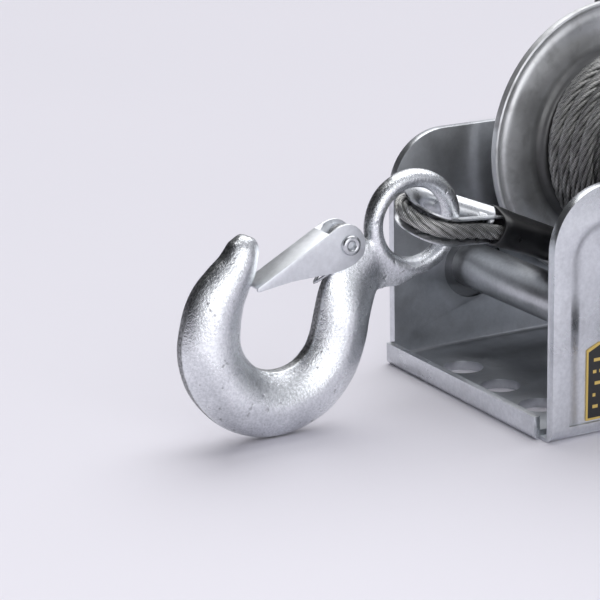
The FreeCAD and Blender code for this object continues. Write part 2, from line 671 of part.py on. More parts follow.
def rounded_route(points):
    """Straight runs joined by tangent arcs; an arc's radius follows the shorter run beside it."""
    spots = [Vector(*p) for p in points]
    edges, at, length = [], spots[0], 0
    radii = []
    for before, here, after in zip(spots, spots[1:], spots[2:]):
        go, leave = (here - before).normalize(), (after - here).normalize()
        half_turn = go.getAngle(leave) / 2
        reach = 0.45 * min(before.distanceToPoint(here), here.distanceToPoint(after))
        radius = reach / math.tan(half_turn)
        radii.append(radius)
        start, end = here - go * reach, here + leave * reach
        inward = (leave - go).normalize()
        middle = here + inward * (radius / math.cos(half_turn) - radius)
        edges += [Part.makeLine(at, start), Part.Arc(start, middle, end).toShape()]
        at = end
    edges.append(Part.makeLine(at, spots[-1]))
    wire = Part.Wire(edges)
    print("rope arcs, mm:", [round(r, 1) for r in radii], "length", round(wire.Length, 1))
    return wire


def rope_lead():
    wire = rounded_route(ROPE_ROUTE)
    start = Vector(*ROPE_ROUTE[0])
    heading = Vector(*ROPE_ROUTE[1]) - start
    ring = Part.Wire(Part.makeCircle(float(rope_r), start, heading))
    solid = wire.makePipeShell([ring], True, False)
    expected = math.pi * float(rope_r) ** 2 * wire.Length
    print("rope volume over section x length:", round(solid.Volume / expected, 4))
    return computed("rope_lead", solid)


thimble_slope, sleeve_slope = math.radians(15.5), math.radians(23.0)
bight = Vector(float(hook_x), -34.2, 63.4)
sleeve_mouth = Vector(float(hook_x), -1.15, 54.2)
sleeve_along = Vector(0, math.cos(sleeve_slope), -math.sin(sleeve_slope))
sleeve_up = Vector(0, math.sin(sleeve_slope), math.cos(sleeve_slope))
across = Vector(1, 0, 0)


def teardrop(radius, half_height):
    """A round-nosed, pointed slab in the thimble's own plane: nose along +u, its circle at u = 12.5."""
    nose = Vector(12.5, 0, 0)
    taper = math.radians(20.2)
    side = Vector(12.5 + radius * math.sin(taper), radius * math.cos(taper), 0)
    point = Vector(12.5 + radius / math.sin(taper), 0, 0)
    other = Vector(side.x, -side.y, 0)
    edges = [Part.Arc(side, nose - Vector(radius, 0, 0), other).toShape(), Part.makeLine(other, point),
             Part.makeLine(point, side)]
    face = Part.Face(Part.Wire(edges))
    face.translate(Vector(0, 0, -half_height))
    return face.extrude(Vector(0, 0, 2 * half_height))


def thimble():
    """Pressed sheet channel bent to a teardrop: the rope lies in it, the hook's eye bears inside it."""
    groove = float(rope_r) + 0.15
    sheet_t = 1.1
    half = groove + sheet_t
    body = teardrop(10.0, half).cut(teardrop(10.0 - groove - sheet_t, half + 1))
    body = body.cut(teardrop(14.0, groove).cut(teardrop(10.0 - groove, groove + 1)))
    crotch = Part.makeBox(40, 60, 20, Vector(31.5, -30, -10))
    body = body.cut(crotch)
    turn = Rotation(Vector(0, math.cos(thimble_slope), -math.sin(thimble_slope)), -across,
                    Vector(0, math.sin(thimble_slope), math.cos(thimble_slope)), "XYZ")
    body.transformShape(Placement(bight, turn).toMatrix())
    return computed("thimble", body)


def sleeve_spot(along):
    return sleeve_mouth + sleeve_along * along


def oval_bar(sections):
    """A loft through ovals stood across the sleeve's axis: (place along it, half width, half height)."""
    rings = [oval(sleeve_spot(s), across, sleeve_up, w, t) for s, w, t in sections]
    return Part.makeLoft(rings, True, True)


def ferrule():
    """The pressed sleeve that grips both falls of the rope."""
    body = oval_bar([(13, 6.6, 4.1), (33, 6.6, 4.1)])
    side = float(cell("rope_side"))
    bore_r = float(rope_r) + 0.08
    bores = [Part.makeCylinder(bore_r, 24, sleeve_spot(11) + across * x, sleeve_along) for x in (-side, side)]
    web = Part.makeBox(2 * side, 24, 2 * bore_r)
    web.translate(Vector(-side, 0, -bore_r))
    turn = Rotation(across, sleeve_along, sleeve_up, "XYZ")
    web.transformShape(Placement(sleeve_spot(11), turn).toMatrix())
    return computed("ferrule", body.cut(bores[0].fuse([bores[1], web])))


def eye_sleeve():
    """A shrunk black sleeve over the ferrule, flattened, narrower towards the drum."""
    outside = oval_bar([(0, 7.9, 5.9), (36, 7.5, 5.0)])
    inside = oval_bar([(-1, 6.75, 4.9), (10, 6.7, 4.3), (37, 6.7, 4.2)])
    return computed("eye_sleeve", outside.cut(inside))


rope_lead()
thimble()
ferrule()
eye_sleeve()

# --- The hook: a forged eye hook, its latch, and the latch's rivet and spring ---------------
eye = Vector(float(hook_x), float(cell("eye_y")), float(cell("eye_z")))
bowl = Vector(float(hook_x), float(cell("bowl_y")), float(cell("bowl_z")))
latch_pin = Vector(float(hook_x), float(cell("latch_y")), float(cell("latch_z")))
# Stations of the limb: TIP and SHANK give (y, z, half depth, half thickness), and BOWL gives
# (degrees round the bowl's centre, how far out, half depth, half thickness).
TIP = [(-86.2, 63.6, 1.6, 1.8), (-87.2, 59.6, 4.2, 4.4), (-89.6, 55.0, 5.8, 5.7), (-93.0, 49.6, 7.4, 6.5),
       (-95.7, 44.6, 8.5, 6.9)]
BOWL = [(163, 0.1, 9.2, 7.2), (184, 0.0, 9.7, 7.6), (206, -0.2, 10.0, 7.9), (230, -0.4, 10.1, 8.0),
        (254, -0.6, 10.1, 8.0), (278, -0.7, 10.0, 8.0), (302, -0.7, 9.8, 7.8), (326, -0.8, 9.4, 7.5),
        (346, -0.7, 9.1, 7.2)]
SHANK = [(-54.4, 34.0, 9.0, 6.9), (-52.5, 41.0, 9.2, 5.2), (-48.9, 47.4, 8.6, 2.9), (-42.6, 53.2, 7.0, 2.9)]


def hook():
    stations = list(TIP)
    for degrees, out, depth, half in BOWL:
        turn = math.radians(degrees)
        radius = float(cell("bowl_radius")) + out
        stations.append((bowl.y + radius * math.cos(turn), bowl.z + radius * math.sin(turn), depth, half))
    stations += SHANK
    spots = [Vector(float(hook_x), y, z) for y, z, _, _ in stations]
    rings = []
    for i, (_, _, depth, half) in enumerate(stations):
        along = (spots[min(i + 1, len(spots) - 1)] - spots[max(i - 1, 0)]).normalize()
        rings.append(oval(spots[i], along.cross(across), across, depth, half))
    limb = Part.makeLoft(rings, True, False)
    ring = Part.makeTorus(float(cell("eye_radius")), float(cell("eye_wire")), eye, across)
    lug = Part.makeCylinder(5.4, 4.4, latch_pin - across * 2.2, across)
    hole = Part.makeCylinder(2.0, 30, latch_pin - across * 15, across)
    bore = Part.makeCylinder(float(cell("eye_radius") - cell("eye_wire")) + 0.25, 30, eye - across * 15, across)
    body = limb.fuse(lug).cut(bore).fuse(ring).cut(hole)
    print("hook: lowest", round(body.BoundBox.ZMin, 2), "solids", len(body.Solids))
    return computed("hook", body)


def in_hook_plane(spot, x):
    return Vector(eye.x + x, spot[0], spot[1])


def safety_latch():
    """Folded sheet: two cheeks beside the shank, joined by a roof that stops short of the pivot."""
    outside, sheet_t = 4.6, 1.1
    cheek = [(-48.9, 53.0), (-48.2, 56.6), (-50.3, 60.7), (-54.2, 62.9), (-57.1, 62.6), (-60.6, 60.9),
             (-84.9, 49.7), (-85.0, 48.0), (-73.1, 48.5), (-60.8, 48.5), (-52.5, 50.2)]
    under_roof = [(-40, 40), (-40, 70), (-60.6, 70), (-60.6, 59.7), (-86.0, 48.0), (-86.0, 40)]
    body = slab(cheek, eye.x - outside, eye.x + outside)
    body = body.cut(slab(under_roof, eye.x - outside + sheet_t, eye.x + outside - sheet_t))
    hole = Part.makeCylinder(2.05, 30, latch_pin - across * 15, across)
    return computed("safety_latch", body.cut(hole))


def latch_rivet():
    shank = Part.makeCylinder(1.98, 11.8, latch_pin - across * 5.9, across)
    heads = [Part.makeCylinder(3.1, 1.3, latch_pin + across * x, across) for x in (-5.95, 4.65)]
    body = shank.fuse(heads)
    hollow = Part.makeCylinder(1.1, 5, latch_pin + across * 3.0, across)
    return computed("latch_rivet", body.cut(hollow))


def latch_spring():
    """Bent wire: a turn round the rivet at each side of the lug, joined by a bail across the shank."""
    wire_r, coil_r, side = 0.45, 3.3, 2.95
    coils = [Part.makeTorus(coil_r, wire_r, latch_pin + across * x, across) for x in (-side, side)]
    stops = [(2.7, -0.4, -coil_r), (2.8, -4.2, -4.6), (2.2, -8.0, -7.2), (0, -9.6, -8.4)]
    stops += [(-x, y, z) for x, y, z in reversed(stops[:-1])]
    curve = Part.BSplineCurve()
    curve.interpolate([latch_pin + Vector(*stop) for stop in stops])
    start = curve.value(curve.FirstParameter)
    profile = Part.Wire(Part.makeCircle(wire_r, start, curve.tangent(curve.FirstParameter)[0]))
    bail = Part.Wire(curve.toShape()).makePipeShell([profile], True, True)
    return computed("latch_spring", bail.fuse(coils))


hook()
safety_latch()
latch_rivet()
latch_spring()

# --- Checks, then one file per sub-part ------------------------------------------------------
doc.recompute()
for obj in doc.Objects:
    if "Invalid" in obj.State or "Error" in obj.State:
        raise RuntimeError(f"{obj.Label} failed: {obj.State}")
for obj in subparts:
    shape = obj.Shape
    if shape.isNull() or not shape.isValid() or not shape.Solids:
        raise RuntimeError(f"{obj.Label} has no valid solid")
os.makedirs("parts", exist_ok=True)
for obj in subparts:
    obj.Shape.exportStep(f"parts/{obj.Label}.step")
print(len(subparts), "sub-parts written")
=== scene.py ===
# %% [markdown]
# # A boat trailer winch
# A hand winch pulls a boat onto its trailer: a bent steel frame, a drum full of wire rope,
# a gear pair turned by a crank, and a forged hook at the rope's end. This lesson dresses the
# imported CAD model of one. The CAD sets every place and size; Blender adds the finishes and
# rebuilds the few pieces whose real shape is softer or finer than CAD makes easy.

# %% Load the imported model
import math

import bmesh
import bpy
import numpy as np
from mathutils import Matrix, Vector


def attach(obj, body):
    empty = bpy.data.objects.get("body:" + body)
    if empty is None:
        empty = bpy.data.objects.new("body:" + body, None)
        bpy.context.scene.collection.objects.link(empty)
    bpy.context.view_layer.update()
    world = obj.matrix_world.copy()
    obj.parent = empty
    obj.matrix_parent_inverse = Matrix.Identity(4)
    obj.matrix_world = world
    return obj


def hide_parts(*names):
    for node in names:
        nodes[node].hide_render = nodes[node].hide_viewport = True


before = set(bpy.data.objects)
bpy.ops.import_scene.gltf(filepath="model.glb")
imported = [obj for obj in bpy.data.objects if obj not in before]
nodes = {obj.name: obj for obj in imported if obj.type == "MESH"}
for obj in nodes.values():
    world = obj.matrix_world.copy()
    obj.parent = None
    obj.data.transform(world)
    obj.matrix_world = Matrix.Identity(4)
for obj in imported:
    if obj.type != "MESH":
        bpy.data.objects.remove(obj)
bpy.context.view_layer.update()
MM = 0.001


def placed(name, data):
    """A new object with this data, put in the scene."""
    made = bpy.data.objects.new(name, data)
    bpy.context.scene.collection.objects.link(made)
    return made


# %% [markdown]
# ## The camera
# The hook is nearest and the frame runs out of view at the right, seen from slightly above
# with a long lens. A camera's matrix is three unit vectors: its right, its up, and the
# direction behind it. They follow from the way it looks and a small roll, so no constraint or
# tracking is needed.

# %% Camera
eye_point = Vector((562.586, -370.811, 232.123)) * MM
looking = Vector((-0.84528789, 0.4515712, -0.28560784))
camera_roll = -0.021
level_right = looking.cross(Vector((0, 0, 1))).normalized()
level_up = level_right.cross(looking)
right = level_right * math.cos(camera_roll) + level_up * math.sin(camera_roll)
up = level_up * math.cos(camera_roll) - level_right * math.sin(camera_roll)

camera_data = bpy.data.cameras.new("close_up_camera")
camera_data.lens = 136.19
camera = placed("close_up_camera", camera_data)
camera.matrix_world = Matrix.LocRotScale(
    eye_point, Matrix((right, up, -looking)).transposed(), None)
bpy.context.scene.camera = camera

# %% [markdown]
# ## Wire rope
# The rope is twisted from six strands round a core, and each strand from many wires. A plain
# round tube would lose that, and modelling strands by hand would never follow a bend. So the
# rope's line comes first, as a NURBS spline through a few route points, and a Geometry Nodes
# tree lays the strands round it: it copies the line six times, pushes every copy out along a
# turning direction, and sweeps a circle along it. It also stores where each corner is, along
# the strand and round it, so that the material can draw the single wires.

# %% Route points to a smooth line
ROPE_DIAMETER = 5.0 * MM
LEAD_ROUTE = [(-0.85, 68.2, 36.1), (-0.85, 41.2, 36.2), (-0.95, -1.35, 53.5),
              (8.0, -26.5, 57.8), (-3.5, -34.2, 63.4), (-15.0, -24.7, 64.2),
              (-6.05, -0.95, 54.9), (-6.15, 26.5, 42.5)]


def smooth_line(name, route_mm, steps):
    """The points of a NURBS spline that has these route points as its control points."""
    curve = bpy.data.curves.new(name, "CURVE")
    curve.dimensions = "3D"
    curve.resolution_u = steps
    spline = curve.splines.new("NURBS")
    spline.points.add(len(route_mm) - 1)
    for point, place in zip(spline.points, route_mm):
        point.co = (*(c * MM for c in place), 1)
    spline.order_u = 3
    spline.use_endpoint_u = True
    holder = bpy.data.objects.new(name, curve)
    line = bpy.data.meshes.new_from_object(holder)
    points = [v.co.copy() for v in line.vertices]
    bpy.data.objects.remove(holder)
    return points


def length_of(points):
    return sum((b - a).length for a, b in zip(points, points[1:]))


lead_line = smooth_line("lead_line", LEAD_ROUTE, 24)
print("rope lead:", round(length_of(lead_line) / MM, 1), "mm,", len(lead_line), "points")

# %% [markdown]
# The winding is the same rope, wound on the hub in two full layers and a loose third. Each
# turn lies straight for most of its way and steps sideways over the turn below near the
# front, which is what a rope does on a drum. All of that is one list of route points, sixteen
# to a turn, and the last one is where the lead leaves the drum.

# %% The winding's route
DRUM_Y, DRUM_Z = 68.3, 66.0
STEPS_PER_TURN = 16
NURBS_SHRINK = 0.981  # a quadratic spline runs this far inside its sixteen-sided turns
FULL_TURNS = 12
LOOSE_PLACES = [-30.4, -26.2, -21.0, -16.4, -9.8, -0.85]
LAYER_RADII = [20.1, 24.9, 29.7]


def sideways_step(share):
    """How much of the step to the next turn is made after this share of a turn."""
    t = min(max((share - 0.48) / 0.40, 0), 1)
    return t * t * (3 - 2 * t)


def winding_stations():
    """(x, radius) of each route point, from the clamp on the hub to the lead."""
    left, right_end = LOOSE_PLACES[0], 28.3
    pitch = (right_end - left) / FULL_TURNS
    first = [left + pitch * k for k in range(FULL_TURNS + 1)]
    turn_places = first + first[-2::-1] + LOOSE_PLACES[1:]
    stations = []
    for turn, (here, there) in enumerate(zip(turn_places, turn_places[1:])):
        layer = min(turn // FULL_TURNS, 2)
        for step in range(STEPS_PER_TURN):
            share = step / STEPS_PER_TURN
            x = here + (there - here) * sideways_step(share)
            climb = min(1, (turn - layer * FULL_TURNS + share) / 0.4) if layer else 1
            low = LAYER_RADII[max(layer - 1, 0)]
            radius = low + (LAYER_RADII[layer] - low) * climb
            loose = (0.25, 0.35, 1.1)[layer]
            x += loose * math.sin(2.1 * turn + 5.0 * share) * math.sin(math.pi * share)
            radius += 0.12 * loose * (1 + math.sin(4.3 * turn + 6.0 * share))
            stations.append((x, radius))
    stations.append((turn_places[-1], 29.9))
    return stations


def winding_route():
    stations = winding_stations()
    last = len(stations) - 1
    route = []
    for k, (x, radius) in enumerate(stations):
        turned = math.radians(-90) + (last - k) * math.tau / STEPS_PER_TURN
        reach = radius / NURBS_SHRINK if k < last else radius
        route.append((x, DRUM_Y + reach * math.cos(turned), DRUM_Z + reach * math.sin(turned)))
    return route


winding_line = smooth_line("winding_line", winding_route(), 4)
winding_length = length_of(winding_line)
print("winding:", round(winding_length, 3), "m in", len(winding_line), "points")

# %% [markdown]
# ## Wiring nodes from code
# Geometry and shader trees are both nodes with wires between them, so one small class adds
# any node: its settings first, then the values or wires of its sockets. A second class stands
# for an output socket and lets sums and products be written as ordinary Python.

# %% Two small classes for node trees
class Wire:
    """An output socket. Arithmetic on it adds Math nodes to its tree."""

    def __init__(self, wiring, socket):
        self.wiring, self.socket = wiring, socket

    def other(self, name):
        """Another output of the same node."""
        return Wire(self.wiring, self.socket.node.outputs[name])

    def math(self, operation, *others):
        values = dict(enumerate((self, *others)))
        return self.wiring.node("ShaderNodeMath", {"operation": operation}, values)

    def __add__(self, other):
        return self.math("ADD", other)

    def __mul__(self, other):
        return self.math("MULTIPLY", other)

    def __sub__(self, other):
        return self.math("SUBTRACT", other)

    def __truediv__(self, other):
        return self.math("DIVIDE", other)

    def __pow__(self, other):
        return self.math("POWER", other)

    def __rsub__(self, other):
        return self * -1 + other

    __radd__, __rmul__ = __add__, __mul__

    def ramp(self, low, high):
        """0 at low, 1 at high, a straight line between them and level outside."""
        values = {"Value": self, "From Min": low, "From Max": high}
        return self.wiring.node("ShaderNodeMapRange", {}, values)


class Wiring:
    """A node tree that is being built."""

    def __init__(self, tree):
        self.tree = tree

    def node(self, kind, settings=None, values=None, out=0):
        made = self.tree.nodes.new(kind)
        for name, setting in (settings or {}).items():
            setattr(made, name, setting)
        for key, value in (values or {}).items():
            if isinstance(value, Wire):
                self.tree.links.new(value.socket, made.inputs[key])
            else:
                made.inputs[key].default_value = value
        return Wire(self, made.outputs[out]) if made.outputs else None

    def vector(self, operation, *operands):
        values = dict(enumerate(operands))
        return self.node("ShaderNodeVectorMath", {"operation": operation}, values)

    def scaled(self, vector, amount):
        values = {0: vector, "Scale": amount}
        return self.node("ShaderNodeVectorMath", {"operation": "SCALE"}, values)


def geometry_tree(name, inputs):
    """A Geometry Nodes tree with these named inputs, its wiring and its group input."""
    tree = bpy.data.node_groups.new(name, "GeometryNodeTree")
    for label, kind in inputs.items():
        tree.interface.new_socket(label, in_out="INPUT", socket_type="NodeSocket" + kind)
    tree.interface.new_socket("Made", in_out="OUTPUT", socket_type="NodeSocketGeometry")
    wiring = Wiring(tree)
    return wiring, wiring.node("NodeGroupInput")


def worked_mesh(holder):
    """The mesh that an object's modifiers or curve make; the object itself is removed."""
    depsgraph = bpy.context.evaluated_depsgraph_get()
    mesh = bpy.data.meshes.new_from_object(holder.evaluated_get(depsgraph))
    bpy.data.objects.remove(holder)
    return mesh


def grow(name, seed_mesh, tree, sizes):
    """Runs a tree on a mesh and returns the result as one plain mesh object."""
    holder = placed(name + "_seed", seed_mesh)
    modifier = holder.modifiers.new("grow", "NODES")
    modifier.node_group = tree
    for item in tree.interface.items_tree:
        if item.in_out == "INPUT" and item.name in sizes:
            modifier[item.identifier] = sizes[item.name]
    made = placed(name, worked_mesh(holder))
    print(name, "has", sum(len(p.vertices) - 2 for p in made.data.polygons), "triangles")
    return made


# %% [markdown]
# ## Finishes
# Most of a winch is zinc-plated steel, but no two plated parts look alike. Rolled sheet is
# cloudy, turned bolts are smooth, and a forging is speckled because it was blasted before it
# was dipped. One recipe covers them: slow clouds and a fine grain change the tone and the
# shine together, and the grain also lifts the surface a few hundredths of a millimetre.

# %% Plated finishes
def begin_finish(name, **constants):
    """A material, its wiring, its shader node and its Object coordinates."""
    material = bpy.data.materials.new(name)
    material.use_nodes = True
    material.node_tree.nodes.clear()
    paint = Wiring(material.node_tree)
    shader = paint.node("ShaderNodeBsdfPrincipled")
    for socket, value in constants.items():
        shader.socket.node.inputs[socket.replace("_", " ")].default_value = value
    paint.node("ShaderNodeOutputMaterial", {}, {"Surface": shader})
    place = paint.node("ShaderNodeTexCoord", out="Object")
    return material, paint, shader, place


def connect(shader, **wires):
    node = shader.socket.node
    for socket, wire in wires.items():
        shader.wiring.tree.links.new(wire.socket, node.inputs[socket.replace("_", " ")])


def noise(paint, place, size_mm, detail=3, rough=0.5):
    values = {"Vector": place, "Scale": 1 / (size_mm * MM), "Detail": detail, "Roughness": rough}
    return paint.node("ShaderNodeTexNoise", {}, values)


def blend_colours(paint, share, first, second):
    values = {0: share, 6: first, 7: second}
    return paint.node("ShaderNodeMix", {"data_type": "RGBA"}, values, out=2)


def lifted(paint, height, depth_mm, strength=1.0, under=None):
    """A normal that shows this height in relief, on top of another normal if there is one."""
    values = {"Height": height, "Distance": depth_mm * MM, "Strength": strength}
    if under:
        values["Normal"] = under
    return paint.node("ShaderNodeBump", {}, values)


def grey(level, blue=0.0):
    """A neutral metal colour, a little bluer where asked."""
    return (level * (1 - blue), level * (1 - 0.35 * blue), level * (1 + 0.6 * blue), 1)


def plated(name, tones, shine, cloud_mm, grain_mm, grain_depth_mm, blue=0.04):
    """Zinc plate: tones and shine give the darkest and lightest colour and roughness."""
    material, paint, shader, place = begin_finish(name, Metallic=1.0)
    cloud = noise(paint, place, cloud_mm, detail=4).ramp(0.36, 0.64)
    grain = noise(paint, place, grain_mm, detail=3, rough=0.6)
    mix = cloud * 0.55 + grain.ramp(0.35, 0.65) * 0.45
    colour = blend_colours(paint, mix, grey(tones[0], blue), grey(tones[1], blue))
    connect(shader, Base_Color=colour, Roughness=mix * (shine[1] - shine[0]) + shine[0],
            Normal=lifted(paint, grain, grain_depth_mm))
    return material


PLATED = {
    "plated_sheet": ((0.50, 0.68), (0.30, 0.42), 14, 1.1, 0.03),
    "plated_hardware": ((0.55, 0.75), (0.16, 0.32), 6, 0.9, 0.02),
    "plated_steel": ((0.42, 0.62), (0.22, 0.40), 8, 1.0, 0.03),
    "plated_thimble": ((0.50, 0.72), (0.24, 0.36), 5, 0.8, 0.02),
    "ferrule_alloy": ((0.45, 0.60), (0.35, 0.50), 4, 0.7, 0.04, 0),
    "spring_wire": ((0.45, 0.62), (0.20, 0.32), 3, 0.5, 0.01),
}
finishes = {name: plated(name, *row) for name, row in PLATED.items()}

# %% [markdown]
# The forging has a coarser skin than rolled sheet, with pits, and its sheared band is rough and
# darkened by painted shade. The mesh says where that band is, in a point attribute that a later
# cell stores.

# %% Blasted and plated forging
def forged_zinc():
    material, paint, shader, place = begin_finish("forged_zinc", Metallic=1.0)
    cloud = noise(paint, place, 10, detail=4).ramp(0.38, 0.62)
    speckle = noise(paint, place, 0.8, detail=3, rough=0.7)
    pits = noise(paint, place, 2.6, detail=2).ramp(0.66, 0.73)
    sheared_land_shade = paint.node("ShaderNodeAttribute", {"attribute_name": "sheared_land_shade"}, out="Fac")
    tone = cloud * 0.35 + speckle.ramp(0.36, 0.62) * 0.65
    zinc = blend_colours(paint, tone, grey(0.66, 0.05), grey(0.97, 0.03))
    worn = blend_colours(paint, pits * 0.6, zinc, grey(0.30, 0.05))
    # The land's near-black tone is painted shade for the far flank, which faces away; its extra
    # roughness is real.
    shaded_land_tone = blend_colours(paint, speckle.ramp(0.40, 0.60), grey(0.06), grey(0.34, 0.04))
    height = speckle + pits * -0.5
    connect(shader, Base_Color=blend_colours(paint, sheared_land_shade * 0.9, worn, shaded_land_tone),
            Roughness=0.20 + cloud * 0.08 + sheared_land_shade * 0.16,
            Normal=lifted(paint, height, 0.17))
    return material


finishes["forged_zinc"] = forged_zinc()

# %% [markdown]
# The rope's wires are too thin to model: a strand has a dozen of them side by side, each a
# third of a millimetre. The strands carry two attributes, the distance along and the
# direction round, so a sine of the two together draws the wires as they wind.

# %% Wire rope finish
def galvanised_wires():
    material, paint, shader, place = begin_finish("wire_rope", Metallic=0.8)
    along = paint.node("ShaderNodeAttribute", {"attribute_name": "along"}, out="Fac")
    compass = paint.node("ShaderNodeAttribute", {"attribute_name": "compass"}, out="Vector")
    parts = paint.node("ShaderNodeSeparateXYZ", {}, {0: compass})
    around = parts.other("Y").math("ARCTAN2", parts)
    wires_in_strand, wire_lay = 11, 18 * MM
    wires_passed = along * (math.tau * wires_in_strand / wire_lay)
    wave = (around * wires_in_strand - wires_passed).math("SINE")
    ridge = wave * 0.5 + 0.5
    dirt = noise(paint, place, 6, detail=5).ramp(0.40, 0.66)
    # The near-black troughs between the wires are painted shade; the dirt that dims them further is
    # real.
    shade = ridge * (1 - dirt * 0.45)
    connect(shader,
            Base_Color=blend_colours(paint, shade, (0.05, 0.05, 0.05, 1), (0.84, 0.84, 0.82, 1)),
            Roughness=0.46 - ridge * 0.16,
            Normal=lifted(paint, ridge, 0.10, 0.8))
    return material


finishes["wire_rope"] = galvanised_wires()

# %% Plastics and rubber
def moulded(name, dark, light, shine, grain_mm, depth_mm):
    material, paint, shader, place = begin_finish(name)
    cloud = noise(paint, place, 12, detail=4).ramp(0.35, 0.65)
    grain = noise(paint, place, grain_mm, detail=3)
    connect(shader, Base_Color=blend_colours(paint, cloud, dark, light),
            Roughness=cloud * (shine[1] - shine[0]) + shine[0],
            Normal=lifted(paint, grain, depth_mm))
    return material


MOULDED = {
    "black_sleeve": ((0.004, 0.004, 0.005, 1), (0.010, 0.010, 0.012, 1), (0.26, 0.40), 1.6, 0.05),
    "bush_plastic": ((0.05, 0.05, 0.05, 1), (0.09, 0.09, 0.09, 1), (0.42, 0.55), 1.0, 0.02),
    "grip_plastic": ((0.016, 0.016, 0.018, 1), (0.030, 0.030, 0.032, 1), (0.38, 0.52), 0.9, 0.03),
}
for name, row in MOULDED.items():
    finishes[name] = moulded(name, *row)

# %% [markdown]
# The label is flat print, so it needs no mesh of its own. Two coordinates on its face say
# which colour each spot has.

# %% Label
BAR_PITCH = 3.6  # mm from one row of gold bars to the next


def between(wire, low, high):
    """1 from low to high and 0 outside, with edges a tenth of a millimetre wide."""
    return wire.ramp(low, low + 0.1) * (1 - wire.ramp(high, high + 0.1))


def label_print():
    """A black panel with a gold border and rows of plain gold bars."""
    material, paint, shader, place = begin_finish("label_print")
    spot = paint.node("ShaderNodeSeparateXYZ", {}, {0: place})
    y, z = spot.other("Y") / MM, spot.other("Z") / MM
    panel = between(y, 0.35, 59.2) * between(z, 5.8, 28.2)
    panel = panel * (1 - (z - y * 0.45).ramp(26.1, 26.2))  # the corner that is cut off
    rows = z * (1 / BAR_PITCH)
    row = rows.math("FRACT")
    bar = row.ramp(0.42, 0.46) * (1 - row.ramp(0.70, 0.74)) * between(z, 7.0, 25.0)
    spot_in_row = paint.node("ShaderNodeCombineXYZ", {}, {0: y * 0.35, 1: rows.math("FLOOR") * 7.3})
    gaps = paint.node("ShaderNodeTexNoise", {"noise_dimensions": "2D"},
                      {"Vector": spot_in_row, "Scale": 1.0, "Detail": 0.0})
    bar = bar * gaps.ramp(0.40, 0.44) * between(y, 2.0, 56.0)
    gold = (1 - panel) + bar * panel
    wear = noise(paint, place, 1.5, detail=3)
    black = blend_colours(paint, wear, grey(0.010), grey(0.022))
    connect(shader, Base_Color=blend_colours(paint, gold, black, (0.62, 0.44, 0.12, 1)),
            Roughness=0.30 + wear * 0.15, Normal=lifted(paint, wear, 0.01))
    return material


finishes["label_film"] = label_print()

# %% Finishes onto the CAD nodes
for node in nodes.values():
    slot = node.data.materials[0].name
    for index in range(len(node.data.materials)):
        node.data.materials[index] = finishes[slot]
print(len(finishes), "finishes on", len(nodes), "nodes")

# %% [markdown]
# ## Laying the rope
# The tree below is one rope, whatever its line: the lead is laid finely and the long winding
# with fewer sides. The turn at which each starts makes their strands meet where they join.

# %% Strands laid round a line
def shade_smooth(made, sharp_degrees=180):
    """Smooth faces, apart from edges sharper than this."""
    made.data.polygons.foreach_set("use_smooth", [True] * len(made.data.polygons))
    made.data.set_sharp_from_angle(angle=math.radians(sharp_degrees))


def strand_tree():
    g, given = geometry_tree("lay_strands", {
        "Line": "Geometry", "Strands": "Int", "Rope radius": "Float", "Lay": "Float",
        "Start turn": "Float", "Step": "Float", "Sides": "Int", "Reference": "Vector",
        "Finish": "Material"})
    line = g.node("GeometryNodeMeshToCurve", {}, {"Mesh": given.other("Line")})
    line = g.node("GeometryNodeResampleCurve", {"mode": "LENGTH"},
                  {"Curve": line, "Length": given.other("Step")})
    along = g.node("GeometryNodeSplineParameter", out="Length")
    line = g.node("GeometryNodeStoreNamedAttribute", {"data_type": "FLOAT", "domain": "POINT"},
                  {"Geometry": line, "Name": "along", "Value": along})
    copies = g.node("GeometryNodeDuplicateElements", {"domain": "SPLINE"},
                    {"Geometry": line, "Amount": given.other("Strands")})
    number = copies.other("Duplicate Index")
    turns = number / given.other("Strands") + along / given.other("Lay")
    angle = turns * math.tau + given.other("Start turn")
    tangent = g.node("GeometryNodeInputTangent")
    side = g.vector("NORMALIZE", g.vector("CROSS_PRODUCT", tangent, given.other("Reference")))
    over = g.vector("CROSS_PRODUCT", tangent, side)
    reach = given.other("Rope radius") * (2 / 3)
    offset = g.vector("ADD", g.scaled(side, angle.math("COSINE") * reach),
                      g.scaled(over, angle.math("SINE") * reach))
    strands = g.node("GeometryNodeSetPosition", {}, {"Geometry": copies, "Offset": offset})
    wire_radius = given.other("Rope radius") / 3
    ring = g.node("GeometryNodeCurvePrimitiveCircle", {},
                  {"Resolution": given.other("Sides"), "Radius": wire_radius})
    compass = g.vector("NORMALIZE", g.node("GeometryNodeInputPosition"))
    ring = g.node("GeometryNodeStoreNamedAttribute",
                  {"data_type": "FLOAT_VECTOR", "domain": "POINT"},
                  {"Geometry": ring, "Name": "compass", "Value": compass})
    mesh = g.node("GeometryNodeCurveToMesh", {},
                  {"Curve": strands, "Profile Curve": ring, "Fill Caps": True})
    mesh = g.node("GeometryNodeRealizeInstances", {}, {"Geometry": mesh})
    mesh = g.node("GeometryNodeSetMaterial", {},
                  {"Geometry": mesh, "Material": given.other("Finish")})
    g.node("NodeGroupOutput", {}, {0: mesh})
    return g.tree


def polyline(name, points):
    mesh = bpy.data.meshes.new(name)
    mesh.from_pydata(points, [(k, k + 1) for k in range(len(points) - 1)], [])
    return mesh


def laid_rope(name, points, start_turn, step_mm, sides, reference):
    rope = grow(name, polyline(name + "_line", points), strand_tree(), {
        "Strands": 6, "Rope radius": ROPE_DIAMETER / 2, "Lay": ROPE_LAY,
        "Start turn": start_turn, "Step": step_mm * MM, "Sides": sides,
        "Reference": reference, "Finish": finishes["wire_rope"]})
    shade_smooth(rope)
    return rope


